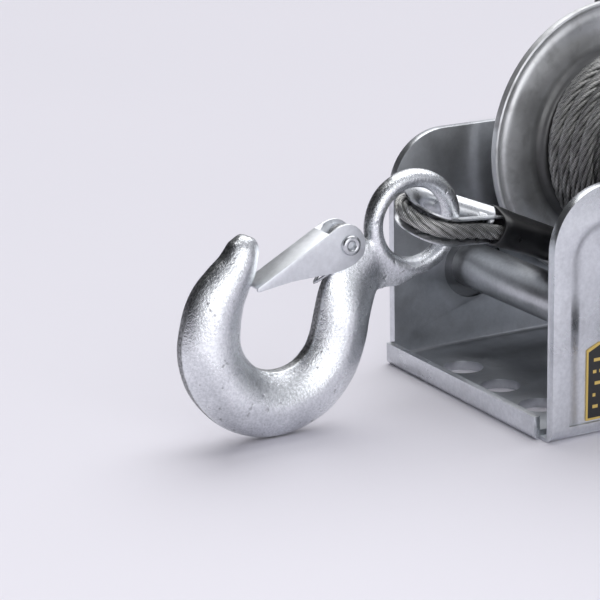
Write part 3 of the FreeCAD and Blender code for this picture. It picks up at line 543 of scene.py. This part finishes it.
ROPE_LAY = 27 * MM
MEETING_ANGLE = math.radians(30)
lead = laid_rope("lead_rope", lead_line, 0.0, 1.0, 12, (0, 0, 1))
meeting_turn = MEETING_ANGLE - math.tau * winding_length / ROPE_LAY
winding = laid_rope("wound_rope", winding_line, meeting_turn, 2.6, 6, (1, 0, 0))

# %% The two cords on their bodies
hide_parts("rope_lead")
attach(lead, "winch_frame")
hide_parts("rope_winding")
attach(winding, "drum")

# %% [markdown]
# ## The forged hook
# A drop forging has no sharp corners: a limb of changing section sweeps round the bowl and
# runs into a ring. Its edge shows a flat band where the flash was sheared off. CAD keeps limb
# and ring as two solids that meet at a crease. Here both are drawn as plain tubes, fused by a
# voxel remesh, and then only the hollow corners are smoothed, which rounds the meeting lines
# the way a forging die does.

# %% Sections of the limb
HOOK_X = -3.5
BOWL_CENTRE = (-76.8, 31.75)
TIP = [(-85.8, 63.3, 0.3, 0.3), (-86.0, 62.7, 2.4, 2.4), (-86.4, 60.5, 4.3, 4.1),
       (-87.4, 57.6, 5.2, 5.0), (-89.4, 53.6, 6.2, 5.8), (-92.6, 49.3, 7.3, 6.5),
       (-95.7, 44.6, 8.5, 6.9)]
BOWL = [(163, 22.0, 9.2, 7.2), (184, 21.9, 9.7, 7.6), (206, 21.7, 10.0, 7.9),
        (230, 21.5, 10.1, 8.0), (254, 21.3, 10.1, 8.0), (278, 21.2, 10.0, 8.0),
        (302, 21.2, 9.8, 7.8), (326, 21.1, 9.4, 7.5), (346, 21.2, 9.1, 7.2)]
SHANK = [(-54.4, 34.0, 9.0, 6.8), (-52.4, 41.0, 9.0, 5.4), (-48.9, 47.2, 8.4, 3.4),
         (-43.4, 52.6, 7.4, 2.9)]
LAND_HALF = 1.5  # half width of the sheared band along the limb's edges


def bowl_station(degrees, radius, depth, half):
    turn = math.radians(degrees)
    return (BOWL_CENTRE[0] + radius * math.cos(turn),
            BOWL_CENTRE[1] + radius * math.sin(turn), depth, half)


def curve_through(stations, steps):
    """Catmull-Rom: rows between the given rows, passing through each."""
    rows = np.array(stations, float)
    padded = np.vstack([2 * rows[0] - rows[1], rows, 2 * rows[-1] - rows[-2]])
    made = []
    for a, b, c, d in zip(padded, padded[1:], padded[2:], padded[3:]):
        for t in np.arange(steps) / steps:
            made.append(0.5 * (2 * b + (c - a) * t + (2 * a - 5 * b + 4 * c - d) * t ** 2
                               + (3 * b - a - 3 * c + d) * t ** 3))
    return np.array([*made, rows[-1]])


def forged_section(depth, half, spots=18):
    """(out, side) pairs: two ridged flanks, joined by flat lands at the outer and inner edge."""
    land = min(LAND_HALF, 0.35 * half)
    flank = []
    for k in range(spots):
        turn = math.pi * k / (spots - 1)
        full = (1 - abs(math.cos(turn)) ** 1.75) ** 0.78
        flank.append((depth * math.cos(turn), land + (half - land) * full))
    return flank + [(out, -side) for out, side in reversed(flank)]


def tube_between(rings):
    """Vertices and faces of a closed tube whose sections are these rings of points."""
    spots = [spot for ring in rings for spot in ring]
    around = len(rings[0])
    faces = [tuple(reversed(range(around))),
             tuple(range((len(rings) - 1) * around, len(rings) * around))]
    for r in range(len(rings) - 1):
        for k in range(around):
            a, b = r * around + k, r * around + (k + 1) % around
            faces.append((a, b, b + around, a + around))
    return spots, faces


def limb_rings():
    rows = curve_through(TIP + [bowl_station(*b) for b in BOWL] + SHANK, 6)
    rings = []
    for k, (y, z, depth, half) in enumerate(rows):
        before, after = rows[max(k - 1, 0)], rows[min(k + 1, len(rows) - 1)]
        along = Vector((0, after[0] - before[0], after[1] - before[1])).normalized()
        out = along.cross(Vector((1, 0, 0)))
        rings.append([Vector((HOOK_X + side, y, z)) + out * reach
                      for reach, side in forged_section(depth, half)])
    return rings


def eye_rings(stops=72, around=20):
    """The eye's own tube, all the way round; deep is measured in its plane, wide across it."""
    centre, across = Vector((HOOK_X, -29.6, 59.1)), Vector((1, 0, 0))
    mean, deep, wide = 13.6, 2.85, 3.3
    rings = []
    for turn in np.arange(stops) * math.tau / stops:
        out = Vector((0, math.cos(turn), math.sin(turn)))
        rings.append([centre + out * (mean + deep * math.cos(a)) + across * (wide * math.sin(a))
                      for a in np.arange(around) * math.tau / around])
    return [*rings, rings[0]]


def flat_plate(outline, half):
    """A plate in the hook's plane, this far to each side, from (y, z) corners in order."""
    return tube_between([[Vector((x, y, z)) for y, z in outline]
                         for x in (HOOK_X - half, HOOK_X + half)])


# %% Limb, ring and web in one skin
def mesh_object(name, parts):
    """One object from several lists of (vertices in mm, faces)."""
    spots, faces = [], []
    for part_spots, part_faces in parts:
        faces += [tuple(len(spots) + k for k in face) for face in part_faces]
        spots += [Vector(spot) * MM for spot in part_spots]
    mesh = bpy.data.meshes.new(name)
    mesh.from_pydata(spots, [], faces)
    made = placed(name, mesh)
    tidy = bmesh.new()
    tidy.from_mesh(mesh)
    bmesh.ops.remove_doubles(tidy, verts=tidy.verts, dist=1e-6)
    bmesh.ops.recalc_face_normals(tidy, faces=tidy.faces)
    tidy.to_mesh(mesh)
    tidy.free()
    return made


def applied(made):
    """The object's mesh with its modifiers worked in, and none left."""
    depsgraph = bpy.context.evaluated_depsgraph_get()
    mesh = bpy.data.meshes.new_from_object(made.evaluated_get(depsgraph))
    made.modifiers.clear()
    made.data = mesh
    return made


def fused(made, voxel_mm):
    remesh = made.modifiers.new("fuse", "REMESH")
    remesh.mode, remesh.voxel_size = "VOXEL", voxel_mm * MM
    return applied(made)


def array_of(mesh, kind):
    values = np.zeros(len(mesh.vertices) * 3)
    getattr(mesh, kind).foreach_get("co" if kind == "vertices" else "vector", values)
    return values.reshape(-1, 3)


FULL_PULL = 0.012 * MM  # a hollow this deep moves with full strength
NORMALS_LAST = 8  # rounds before the normals are worked out again


def smoothed(made, rounds, hollow_rounds):
    """A few rounds of plain smoothing, then rounds that only fill what is hollow."""
    mesh = made.data
    edges = np.zeros(len(mesh.edges) * 2, int)
    mesh.edges.foreach_get("vertices", edges)
    a, b = edges.reshape(-1, 2).T
    count = np.bincount(np.concatenate([a, b]), minlength=len(mesh.vertices))[:, None]
    spots = array_of(mesh, "vertices")
    for turn in range(rounds + hollow_rounds):
        total = np.zeros_like(spots)
        np.add.at(total, a, spots[b])
        np.add.at(total, b, spots[a])
        pull = total / count - spots
        if turn < rounds:
            spots += 0.5 * pull
            continue
        if (turn - rounds) % NORMALS_LAST == 0:
            mesh.vertices.foreach_set("co", spots.ravel())
            mesh.update()
            normals = array_of(mesh, "vertex_normals")
        hollow = np.clip((pull * normals).sum(1) / FULL_PULL, 0, 1)[:, None]
        spots += 0.9 * hollow * pull
    mesh.vertices.foreach_set("co", spots.ravel())
    mesh.update()
    return made


PIVOT = (-53.6, 56.5)
LUG_RADIUS, LUG_HALF, WEB_HALF = 5.4, 2.2, 1.6
web = flat_plate([(-47.0, 47.0), (-43.4, 40.2), (-40.0, 40.6), (-35.2, 40.4), (-29.5, 42.2),
                  (-31.5, 45.6), (-38.0, 50.5), (-45.0, 55.0)], WEB_HALF)
lug = flat_plate([(PIVOT[0] + LUG_RADIUS * math.cos(a), PIVOT[1] + LUG_RADIUS * math.sin(a))
                  for a in np.arange(32) * math.tau / 32], LUG_HALF)
hook = mesh_object("forged_hook", [tube_between(limb_rings()), tube_between(eye_rings()), web, lug])
hook = smoothed(fused(hook, 0.5), 2, 56)
lowest = min(v.co.z for v in hook.data.vertices) / MM
print("hook:", len(hook.data.vertices), "points, lowest", round(lowest, 2))

# %% [markdown]
# The die leaves low lumps in the skin, too big for a bump map to fake along the outline. Each
# point moves a few hundredths of a millimetre along its normal by a sum of slow waves. The
# sheared band is then marked as an attribute, so that its finish can be rougher and carry painted
# shade.

# %% Die marks and the sheared band
def dented(made, depth_mm, size_mm):
    mesh = made.data
    spots, normals = array_of(mesh, "vertices"), array_of(mesh, "vertex_normals")
    waves = [((1.0, 0.7, -0.4), 0.3), ((-0.6, 1.1, 0.8), 2.1), ((0.9, -0.5, 1.2), 4.0)]
    lumps = sum(np.sin(spots @ np.array(way) / (size_mm * MM) + phase) for way, phase in waves)
    height = lumps * depth_mm * MM / len(waves)
    mesh.vertices.foreach_set("co", (spots + normals * height[:, None]).ravel())
    mesh.update()


def mark_land_shade(made):
    """1 on the flat edges near the hook's middle plane; fainter on the eye's inner side."""
    mesh = made.data
    spots, normals = array_of(mesh, "vertices"), array_of(mesh, "vertex_normals")
    near_middle = np.clip((1.9 - np.abs(spots[:, 0] / MM - HOOK_X)) / 0.5, 0, 1)
    flat = np.clip((0.45 - np.abs(normals[:, 0])) / 0.2, 0, 1)
    low_part = np.clip((50.0 - spots[:, 2] / MM) / 6.0, 0.25, 1)
    low_part[spots[:, 1] < -37.0 * MM] = 1.0
    # This mask sets where painted shade darkens the hook's edge, and where it is rougher.
    sheared_land_shade = mesh.attributes.new("sheared_land_shade", "FLOAT", "POINT")
    sheared_land_shade.data.foreach_set("value", near_middle * flat * low_part)


dented(hook, 0.07, 2.4)
mark_land_shade(hook)
shade_smooth(hook)
hook.data.materials.clear()
hook.data.materials.append(finishes["forged_zinc"])
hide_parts("hook")
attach(hook, "hook_body")

# %% [markdown]
# ## The safety latch
# One blank of thin sheet, folded along two lines into a channel with pointed cheeks. Drawing
# the flat cheek and roof and letting Solidify and Bevel give them thickness and rounded folds
# repeats how it is made. A few subdivided strips would not follow the outline as exactly.

# %% Folded channel
CHEEK = [(-48.9, 53.0), (-48.2, 56.6), (-49.0, 59.2), (-50.6, 61.2), (-52.6, 62.6), (-54.6, 63.0),
         (-57.1, 62.6), (-60.6, 60.9), (-84.6, 48.0), (-84.7, 46.6), (-79.8, 47.4), (-73.1, 48.3),
         (-66.3, 48.5), (-60.8, 48.6), (-55.8, 49.2), (-52.0, 50.4)]
ROOF_ENDS = ((-60.6, 60.9), (-84.6, 48.0))
LATCH_HALF = 4.6


def rounded_outline(corners, amount, sharp=()):
    """Each corner that isn't named sharp becomes three points of a small curve."""
    made = []
    for k, corner in enumerate(corners):
        here = Vector(corner)
        before, after = Vector(corners[k - 1]), Vector(corners[(k + 1) % len(corners)])
        if corner in sharp:
            made.append(here)
            continue
        a = here + (before - here).normalized() * min(amount, (before - here).length / 2.2)
        b = here + (after - here).normalized() * min(amount, (after - here).length / 2.2)
        made += [a, here.lerp((a + b) / 2, 0.5), b]
    return made


def folded_latch():
    sheet = bmesh.new()
    sides = []
    for x in (HOOK_X + LATCH_HALF, HOOK_X - LATCH_HALF):
        outline = rounded_outline(CHEEK, 1.2, sharp=ROOF_ENDS)
        spots = [sheet.verts.new(Vector((x, *spot)) * MM) for spot in outline]
        sheet.faces.new(spots if x > HOOK_X else list(reversed(spots)))
        ends = [min(spots, key=lambda v, e=end: (v.co - Vector((x, *e)) * MM).length)
                for end in ROOF_ENDS]
        sides.append(ends)
    (near_back, near_toe), (far_back, far_toe) = sides
    sheet.faces.new((near_back, far_back, far_toe, near_toe))
    bmesh.ops.recalc_face_normals(sheet, faces=sheet.faces)
    roof_faces_down = any(abs(f.normal.x) < 0.5 and f.normal.z < 0 for f in sheet.faces)
    if roof_faces_down:
        bmesh.ops.reverse_faces(sheet, faces=sheet.faces)
    mesh = bpy.data.meshes.new("folded_latch")
    sheet.to_mesh(mesh)
    sheet.free()
    latch = placed("folded_latch", mesh)
    wall = latch.modifiers.new("sheet", "SOLIDIFY")
    wall.thickness, wall.offset, wall.use_even_offset = 1.1 * MM, -1, True
    soft = latch.modifiers.new("folds", "BEVEL")
    soft.width, soft.segments, soft.limit_method = 0.42 * MM, 3, "ANGLE"
    soft.angle_limit = math.radians(40)
    applied(latch)
    shade_smooth(latch, 35)
    return latch


latch = folded_latch()
finishes["latch_sheet"] = plated("latch_sheet", (0.74, 0.88), (0.36, 0.48), 7, 1.4, 0.012)
latch.data.materials.append(finishes["latch_sheet"])
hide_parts("safety_latch")
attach(latch, "latch")
print("latch:", len(latch.data.polygons), "faces")

# %% [markdown]
# ## Thimble and shrunk sleeve
# The thimble is a sheet channel bent to a teardrop. It hangs a little rolled over, far side
# up, because the hook pulls it off centre. One U section with flared lips follows the
# teardrop. The sleeve was shrunk on, so its section is a soft rectangle and its mouth closes
# on the rope.

# %% Channel along a teardrop
SLOPE, ROLL = math.radians(15.5), math.radians(16)
BIGHT = Vector((HOOK_X, -34.2, 63.4))
BACK = Vector((0, math.cos(SLOPE), -math.sin(SLOPE)))
UP = Vector((0, math.sin(SLOPE), math.cos(SLOPE)))
FAR = Vector((-1, 0, 0)) * math.cos(ROLL) + UP * math.sin(ROLL)
TOP = UP * math.cos(ROLL) + Vector((1, 0, 0)) * math.sin(ROLL)


def teardrop_path(radius=10.0, nose=12.5, taper=math.radians(20.2), end=35.0):
    """(place, outward) pairs: in along the far leg, round the nose, back along the near leg."""
    side = (nose + radius * math.sin(taper), radius * math.cos(taper))
    point = nose + radius / math.sin(taper)
    out = (math.sin(taper), math.cos(taper))
    leg = []
    for u in np.linspace(end, side[0], 8)[:-1]:
        leg.append(((u, side[1] * (point - u) / (point - side[0])), out))
    path = list(leg)
    for turn in np.linspace(math.pi / 2 - taper, math.tau - (math.pi / 2 - taper), 40):
        out = (math.cos(turn), math.sin(turn))
        path.append(((nose + radius * out[0], radius * out[1]), out))
    return path + [((u, -v), (a, -b)) for (u, v), (a, b) in reversed(leg)]


# (outward, up) corners of the section: the groove's side, then the back, lip to middle
CHANNEL = [(0.9, 4.15), (0.2, 3.55), (-0.9, 2.95), (-1.9, 2.45), (-2.55, 1.5), (-2.75, 0)]
CHANNEL_BACK = [(-3.85, 0), (-3.6, 2.0), (-2.8, 3.3), (-1.4, 3.95), (0.1, 4.5), (0.8, 4.65)]


def channel_ring(place, outward):
    half = CHANNEL + [(o, -h) for o, h in reversed(CHANNEL[:-1])]
    back = [(o, -h) for o, h in reversed(CHANNEL_BACK)] + CHANNEL_BACK[1:]
    ring = []
    for o, h in half + back:
        u, v = place[0] + o * outward[0], place[1] + o * outward[1]
        ring.append(BIGHT + BACK * u + FAR * v + TOP * h)
    return ring


channel_rings = [channel_ring(*stop) for stop in teardrop_path()]
channel = mesh_object("thimble_channel", [tube_between(channel_rings)])
shade_smooth(channel, 50)
channel.data.materials.append(finishes["plated_thimble"])
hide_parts("thimble")
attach(channel, "winch_frame")


# %% Shrunk sleeve
SLEEVE_SLOPE = math.radians(23.0)
MOUTH = Vector((HOOK_X, -1.15, 54.2))
SLEEVE_BACK = Vector((0, math.cos(SLEEVE_SLOPE), -math.sin(SLEEVE_SLOPE)))
SLEEVE_UP = Vector((0, math.sin(SLEEVE_SLOPE), math.cos(SLEEVE_SLOPE)))


def sleeve_ring(along, wide, high, roll, square=2.9):
    """A soft rectangle across the sleeve, turned by roll degrees."""
    turn = math.radians(roll)
    side = Vector((1, 0, 0)) * math.cos(turn) - SLEEVE_UP * math.sin(turn)
    top = SLEEVE_UP * math.cos(turn) + Vector((1, 0, 0)) * math.sin(turn)
    ring = []
    for a in np.arange(48) * math.tau / 48:
        c, s = math.cos(a), math.sin(a)
        across = wide * math.copysign(abs(c) ** (2 / square), c)
        above = high * math.copysign(abs(s) ** (2 / square), s)
        ring.append(MOUTH + SLEEVE_BACK * along + side * across + top * above)
    return ring


# (along, half width, half height, degrees): the mouth turns in, and so does the far end
SLEEVE = [(1.2, 5.2, 3.2, 16), (0.1, 6.6, 4.4, 16), (-0.2, 7.3, 5.0, 16), (0.3, 7.6, 5.3, 16),
          (3, 7.7, 5.4, 15), (10, 7.5, 5.1, 12), (13, 7.6, 5.2, 10), (22, 7.6, 5.2, 5),
          (33, 7.6, 5.1, 0), (35.4, 7.3, 4.8, 0), (36, 6.6, 4.3, 0), (35.6, 5.2, 3.0, 0)]
sleeve = mesh_object("shrunk_sleeve", [tube_between([sleeve_ring(*stop) for stop in SLEEVE])])
shade_smooth(sleeve)
sleeve.data.materials.append(finishes["black_sleeve"])
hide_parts("eye_sleeve")
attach(sleeve, "winch_frame")
print("thimble:", len(channel.data.polygons), "faces, sleeve:", len(sleeve.data.polygons))

# %% [markdown]
# ## The drum's left flange
# A pressed disc is round everywhere: its rim is rolled and its dish has no corner. A profile
# of a few points is rounded by the same curve as the hook's limb and turned about the axle,
# which costs far fewer faces than bevelling the CAD disc.

# %% Pressed flange
# (radius, x) corners of the disc's two sides, outwards on the drum's and back on the frame's
HUB_HOLE = [(17.6, -35.6), (17.6, -33.5)]
DRUM_SIDE = [(19, -33.5), (27.5, -33.5), (29.3, -33.8), (30.6, -35.0), (32.2, -35.9),
             (34.5, -35.9), (38.5, -35.35), (42.5, -35.5), (44.4, -36.3), (45.4, -36.3),
             (46.2, -35.6), (46.9, -35.9)]
FRAME_SIDE = [(47.0, -37.2), (46.8, -38.7), (45.6, -39.0), (44.4, -38.4), (41, -38.1),
              (34.5, -38.1),
              (31.5, -37.4), (29.0, -35.9), (19, -35.7)]


def turned_piece(name, profile, spots=160, axle=(DRUM_Y, DRUM_Z)):
    """(radius, x) corners about an axle that runs across, closed into a ring."""
    corners = [Vector((x, axle[0] + r * math.cos(a), axle[1] + r * math.sin(a)))
               for a in np.arange(spots) * math.tau / spots for r, x in profile]
    n = len(profile)
    faces = []
    for k in range(spots):
        a, b = k * n, (k + 1) % spots * n
        faces += [(a + i, a + (i + 1) % n, b + (i + 1) % n, b + i) for i in range(n)]
    made = mesh_object(name, [(corners, faces)])
    shade_smooth(made, 50)
    return made


def rounded_profile(corners):
    """The same curve as the limb's, through (radius, x) corners."""
    rows = curve_through([(r, x, 0, 0) for r, x in corners], 4)
    return [(r, x) for r, x, _, _ in rows]


flange_profile = HUB_HOLE + rounded_profile(DRUM_SIDE) + rounded_profile(FRAME_SIDE)
flange = turned_piece("pressed_flange", flange_profile)
print("flange:", len(flange.data.polygons), "faces")


def drum_metal():
    """Spun disc: fine rings round the axle, clouded by handling, with painted shade in the hollow
    by the rope.
    """
    material, paint, shader, place = begin_finish("drum_metal", Metallic=0.75)
    spot = paint.node("ShaderNodeSeparateXYZ", {}, {0: place})
    y, z = spot.other("Y") - DRUM_Y * MM, spot.other("Z") - DRUM_Z * MM
    radius = (y * y + z * z) ** 0.5
    rings = paint.node("ShaderNodeTexNoise", {"noise_dimensions": "1D"},
                       {"W": radius, "Scale": 1 / (1.2 * MM), "Detail": 3.0})
    cloud = noise(paint, place, 16, detail=5).ramp(0.38, 0.62)
    dirt = noise(paint, place, 5, detail=3).ramp(0.50, 0.72)
    hollow = 1 - radius.ramp(31.6 * MM, 34.0 * MM)  # painted shade in the hollow by the rope
    tone = blend_colours(paint, cloud, grey(0.62, 0.02), grey(0.86, 0.02))
    tone = blend_colours(paint, dirt * 0.45, tone, grey(0.34, 0.0))
    connect(shader, Base_Color=blend_colours(paint, hollow * 0.9, tone, grey(0.09, 0.0)),
            Roughness=0.32 + cloud * 0.14 + dirt * 0.1, Normal=lifted(paint, rings, 0.02))
    return material


flange.data.materials.append(drum_metal())
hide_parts("left_flange")
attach(flange, "drum")

# %% [markdown]
# ## Latch rivet and spring
# The rivet's near head is rolled over a hollow end, so it's a rim round a dark cup. The
# spring is one wire: a coil at each side of the lug and a bail that runs out from under the
# latch and rests on the shank.

# %% Rivet and wire
# (radius, x) corners: the hollow near head, the shank and the far head
RIVET = [(0.02, 0.8), (0.9, 0.9), (1.2, 1.5), (1.4, 2.25), (1.9, 2.5), (2.5, 2.4), (3.0, 2.0),
         (3.1, 1.25), (2.6, 1.12), (2.04, 1.12), (1.98, 0.8), (1.98, -8.1), (3.0, -8.2),
         (3.1, -8.8), (2.4, -9.4), (0.02, -9.5)]
COIL_RADIUS, COIL_SIDE, COIL_GROWTH = 3.1, 2.55, 0.9
COIL_START, COIL_END = -3.3, math.pi * 1.5
BAIL_REACH, BAIL_DROP = 9.9, 7.9
WIRE_RADIUS = 0.45
rivet = turned_piece("rolled_rivet", RIVET, 64, PIVOT)
rivet.data.materials.append(finishes["plated_hardware"])
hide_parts("latch_rivet")
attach(rivet, "hook_body")


def spring_route():
    """Stops from one coil's end, out along the bail and back to the other coil's end."""
    half = []
    for turn in np.linspace(COIL_START, COIL_END, 60):
        side = COIL_SIDE + COIL_GROWTH * (turn - COIL_START) / 8.0
        half.append((side, COIL_RADIUS * math.cos(turn), COIL_RADIUS * math.sin(turn)))
    side = half[-1][0]
    for t in np.linspace(0, 1, 24)[1:]:
        half.append((side * math.cos(t * math.pi / 2) ** 0.8, -BAIL_REACH * t,
                     -COIL_RADIUS - BAIL_DROP * t ** 0.9))
    return half + [(-x, y, z) for x, y, z in reversed(half[:-1])]


def bent_wire(name, stops_mm, radius_mm):
    """One plain mesh: a round wire through these stops, with closed ends."""
    curve = bpy.data.curves.new(name + "_line", "CURVE")
    curve.dimensions, curve.bevel_depth, curve.use_fill_caps = "3D", radius_mm * MM, True
    spline = curve.splines.new("POLY")
    spline.points.add(len(stops_mm) - 1)
    for point, stop in zip(spline.points, stops_mm):
        point.co = (*(Vector(stop) * MM), 1)
    mesh = worked_mesh(placed(name + "_line", curve))
    mesh.materials.clear()
    return placed(name, mesh)


wire_stops = [(HOOK_X + x, PIVOT[0] + y, PIVOT[1] + z) for x, y, z in spring_route()]
spring = bent_wire("bail_spring", wire_stops, WIRE_RADIUS)
spring.data.materials.append(finishes["spring_wire"])
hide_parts("latch_spring")
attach(spring, "hook_body")
print("spring:", len(spring.data.polygons), "faces")

# %% [markdown]
# ## The bent frame and the crank's arm
# CAD gives both sharp sheared edges, and a press leaves them round. A copy is merged into
# whole faces first, because a bevel can't cross the small triangles that CAD exports. The
# plates' rims get wide bevels, and the low step of the pressed panel gets narrow ones.

# %% Rounded copies
SHARP = math.radians(28)  # edges that turn more than this are bevelled


def rounded_copy(name, node, wide_mm, narrow_mm, wide_where):
    """A merged copy of a CAD node whose sharp edges are bevelled."""
    made = placed(name, nodes[node].data.copy())
    made.data.transform(nodes[node].matrix_world)
    whole = bmesh.new()
    whole.from_mesh(made.data)
    bmesh.ops.remove_doubles(whole, verts=whole.verts, dist=2e-6)
    bmesh.ops.dissolve_limit(whole, angle_limit=math.radians(0.6), verts=whole.verts,
                             edges=whole.edges)
    weights = whole.edges.layers.float.new("bevel_weight_edge")
    for edge in whole.edges:
        if len(edge.link_faces) == 2 and edge.calc_face_angle() > SHARP:
            middle = (edge.verts[0].co + edge.verts[1].co) / 2 / MM
            edge[weights] = 1.0 if wide_where(middle) else narrow_mm / wide_mm
    whole.to_mesh(made.data)
    whole.free()
    made.data.materials.clear()
    bevel = made.modifiers.new("edges", "BEVEL")
    bevel.width, bevel.segments, bevel.limit_method = wide_mm * MM, 3, "WEIGHT"
    bevel.use_clamp_overlap = True
    applied(made)
    shade_smooth(made, 30)
    return made


def plate_rim(middle):
    """Whether an edge is on a side plate, above its bend, and not on the panel's step."""
    return abs(middle.x) > 43.0 and middle.z > 4.4 and not (45.4 < middle.x < 46.2)


TIE_Y, TIE_Z = 17.7, 29.2  # the tie tube's axis
PANEL_FRONT, PANEL_TOP, PANEL_CORNER = -6.5, 66.4, 11.0  # the pressed panel's front upper corner
PANEL_SLOPE, PANEL_DEPTH = 4.2, 0.9


def frame_sheet():
    """Bright outside and darker within by painted shade, rougher there and stained, with a dark
    ring of painted shade where the tube is set in.
    """
    material, paint, shader, place = begin_finish("frame_sheet", Metallic=1.0)
    spot = paint.node("ShaderNodeSeparateXYZ", {}, {0: place})
    x, y, z = spot, spot.other("Y"), spot.other("Z")
    # Faces within the frame get painted shade in their colour, and are rougher as well.
    inner_shade_and_rough = 1 - x.math("ABSOLUTE").ramp(43.2 * MM, 43.8 * MM)
    inner_shade_and_rough = inner_shade_and_rough * z.ramp(0.0, 2.6 * MM) * y.ramp(-13.0 * MM, -12.0 * MM)
    dy, dz = y - TIE_Y * MM, z - TIE_Z * MM
    ring = 1 - ((dy * dy + dz * dz) ** 0.5).ramp(11.0 * MM, 15.0 * MM)
    # A ring of painted shade on the left plate round the tube's end, standing in for its shadowed
    # hollow.
    painted_recess_shade = ring * (1 - x.ramp(-44.0 * MM, -43.0 * MM))
    cloud = noise(paint, place, 22, detail=5).ramp(0.34, 0.66)
    stain = noise(paint, place, 6, detail=4).ramp(0.52, 0.74)
    grain = noise(paint, place, 1.3, detail=3, rough=0.6)
    across = ((PANEL_FRONT + PANEL_CORNER) * MM - y).math("MAXIMUM", 0.0)
    above = (z - (PANEL_TOP - PANEL_CORNER) * MM).math("MAXIMUM", 0.0)
    from_edge = PANEL_CORNER * MM - (across * across + above * above) ** 0.5
    pressed = paint.node("ShaderNodeMapRange", {"interpolation_type": "SMOOTHSTEP"},
                         {"Value": from_edge, "From Min": 0.0, "From Max": PANEL_SLOPE * MM})
    pressed = pressed * x.ramp(45.0 * MM, 45.4 * MM)
    mix = cloud * 0.6 + grain.ramp(0.35, 0.65) * 0.4
    bright = blend_colours(paint, mix, grey(0.60, 0.05), grey(0.80, 0.04))
    # The inner tone is a painted shade copy of the outer tone.
    painted_inner_shade = blend_colours(paint, cloud, grey(0.48, 0.06), grey(0.70, 0.05))
    tone = blend_colours(paint, inner_shade_and_rough, bright, painted_inner_shade)
    tone = blend_colours(paint, stain * 0.25, tone, grey(0.34, 0.02))
    # Painted shade darkens the ring round the tube's end.
    tone = blend_colours(paint, painted_recess_shade * 0.75, tone, grey(0.10, 0.02))
    connect(shader, Base_Color=tone, Roughness=0.24 + cloud * 0.12 + inner_shade_and_rough * 0.14,
            Normal=lifted(paint, pressed * -1, PANEL_DEPTH, under=lifted(paint, grain, 0.03)))
    return material


body = rounded_copy("bent_frame", "frame", 0.8, 0.36, plate_rim)
body.data.materials.append(frame_sheet())
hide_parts("frame")
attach(body, "winch_frame")
print("frame:", len(body.data.polygons), "faces")

arm = rounded_copy("rounded_arm", "crank_arm", 0.7, 0.7, lambda middle: True)
arm.data.materials.append(finishes["plated_sheet"])
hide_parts("crank_arm")
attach(arm, "crank")
print("arm:", len(arm.data.polygons), "faces")


# %% [markdown]
# ## The studio
# A plain pale floor fills the view. Plated metal shows its surroundings rather than its own
# colour. So the sky is bright except towards the left of the view, where it is dark and draws
# the shaded side of every rounded part. One wide soft light stands above, and a panel at the
# right puts the long highlights on the hook and the plate.

# %% Floor and lights
def lamp(name, kind, **settings):
    """A light of this kind, put in the scene."""
    data = bpy.data.lights.new(name, kind)
    for setting, value in settings.items():
        setattr(data, setting, value)
    return placed(name, data)


def pale_floor(reach=6.0):
    mesh = bpy.data.meshes.new("studio_floor")
    corners = [(-reach, -reach, 0), (reach, -reach, 0), (reach, reach, 0), (-reach, reach, 0)]
    mesh.from_pydata(corners, [], [(0, 1, 2, 3)])
    floor = placed("studio_floor", mesh)
    material, paint, shader, place = begin_finish("studio_paper", Roughness=0.9)
    shade = noise(paint, place, 400, detail=2)
    connect(shader, Base_Color=blend_colours(paint, shade, (0.79, 0.775, 0.835, 1),
                                             (0.82, 0.80, 0.86, 1)))
    mesh.materials.append(material)


pale_floor()
DARK_SIDE = Vector((-0.52, -0.80, 0.30)).normalized()
sky = bpy.data.worlds.new("studio_sky")
sky.use_nodes = True
air = Wiring(sky.node_tree)
heading = air.node("ShaderNodeTexCoord", out="Generated")
facing = air.node("ShaderNodeVectorMath", {"operation": "DOT_PRODUCT"},
                  {0: heading, 1: DARK_SIDE}, out="Value")
strength = (1 - facing.ramp(0.05, 0.65)) * 0.56 + 0.04
background = sky.node_tree.nodes["Background"]
background.inputs["Color"].default_value = (0.93, 0.94, 1.0, 1)
sky.node_tree.links.new(strength.socket, background.inputs["Strength"])
bpy.context.scene.world = sky

key = lamp("wide_key", "SUN", energy=2.1, angle=math.radians(70))
key.rotation_euler = (math.radians(-18), math.radians(-22), 0)
panel = lamp("right_panel", "AREA", shape="RECTANGLE", size=0.9, size_y=0.8, energy=3.0)
panel.location = (0.9, -0.25, 0.35)
panel.rotation_euler = (Vector((0, 0, 0.05)) - panel.location).to_track_quat("-Z", "Y").to_euler()
bpy.context.scene.view_settings.view_transform = "Standard"
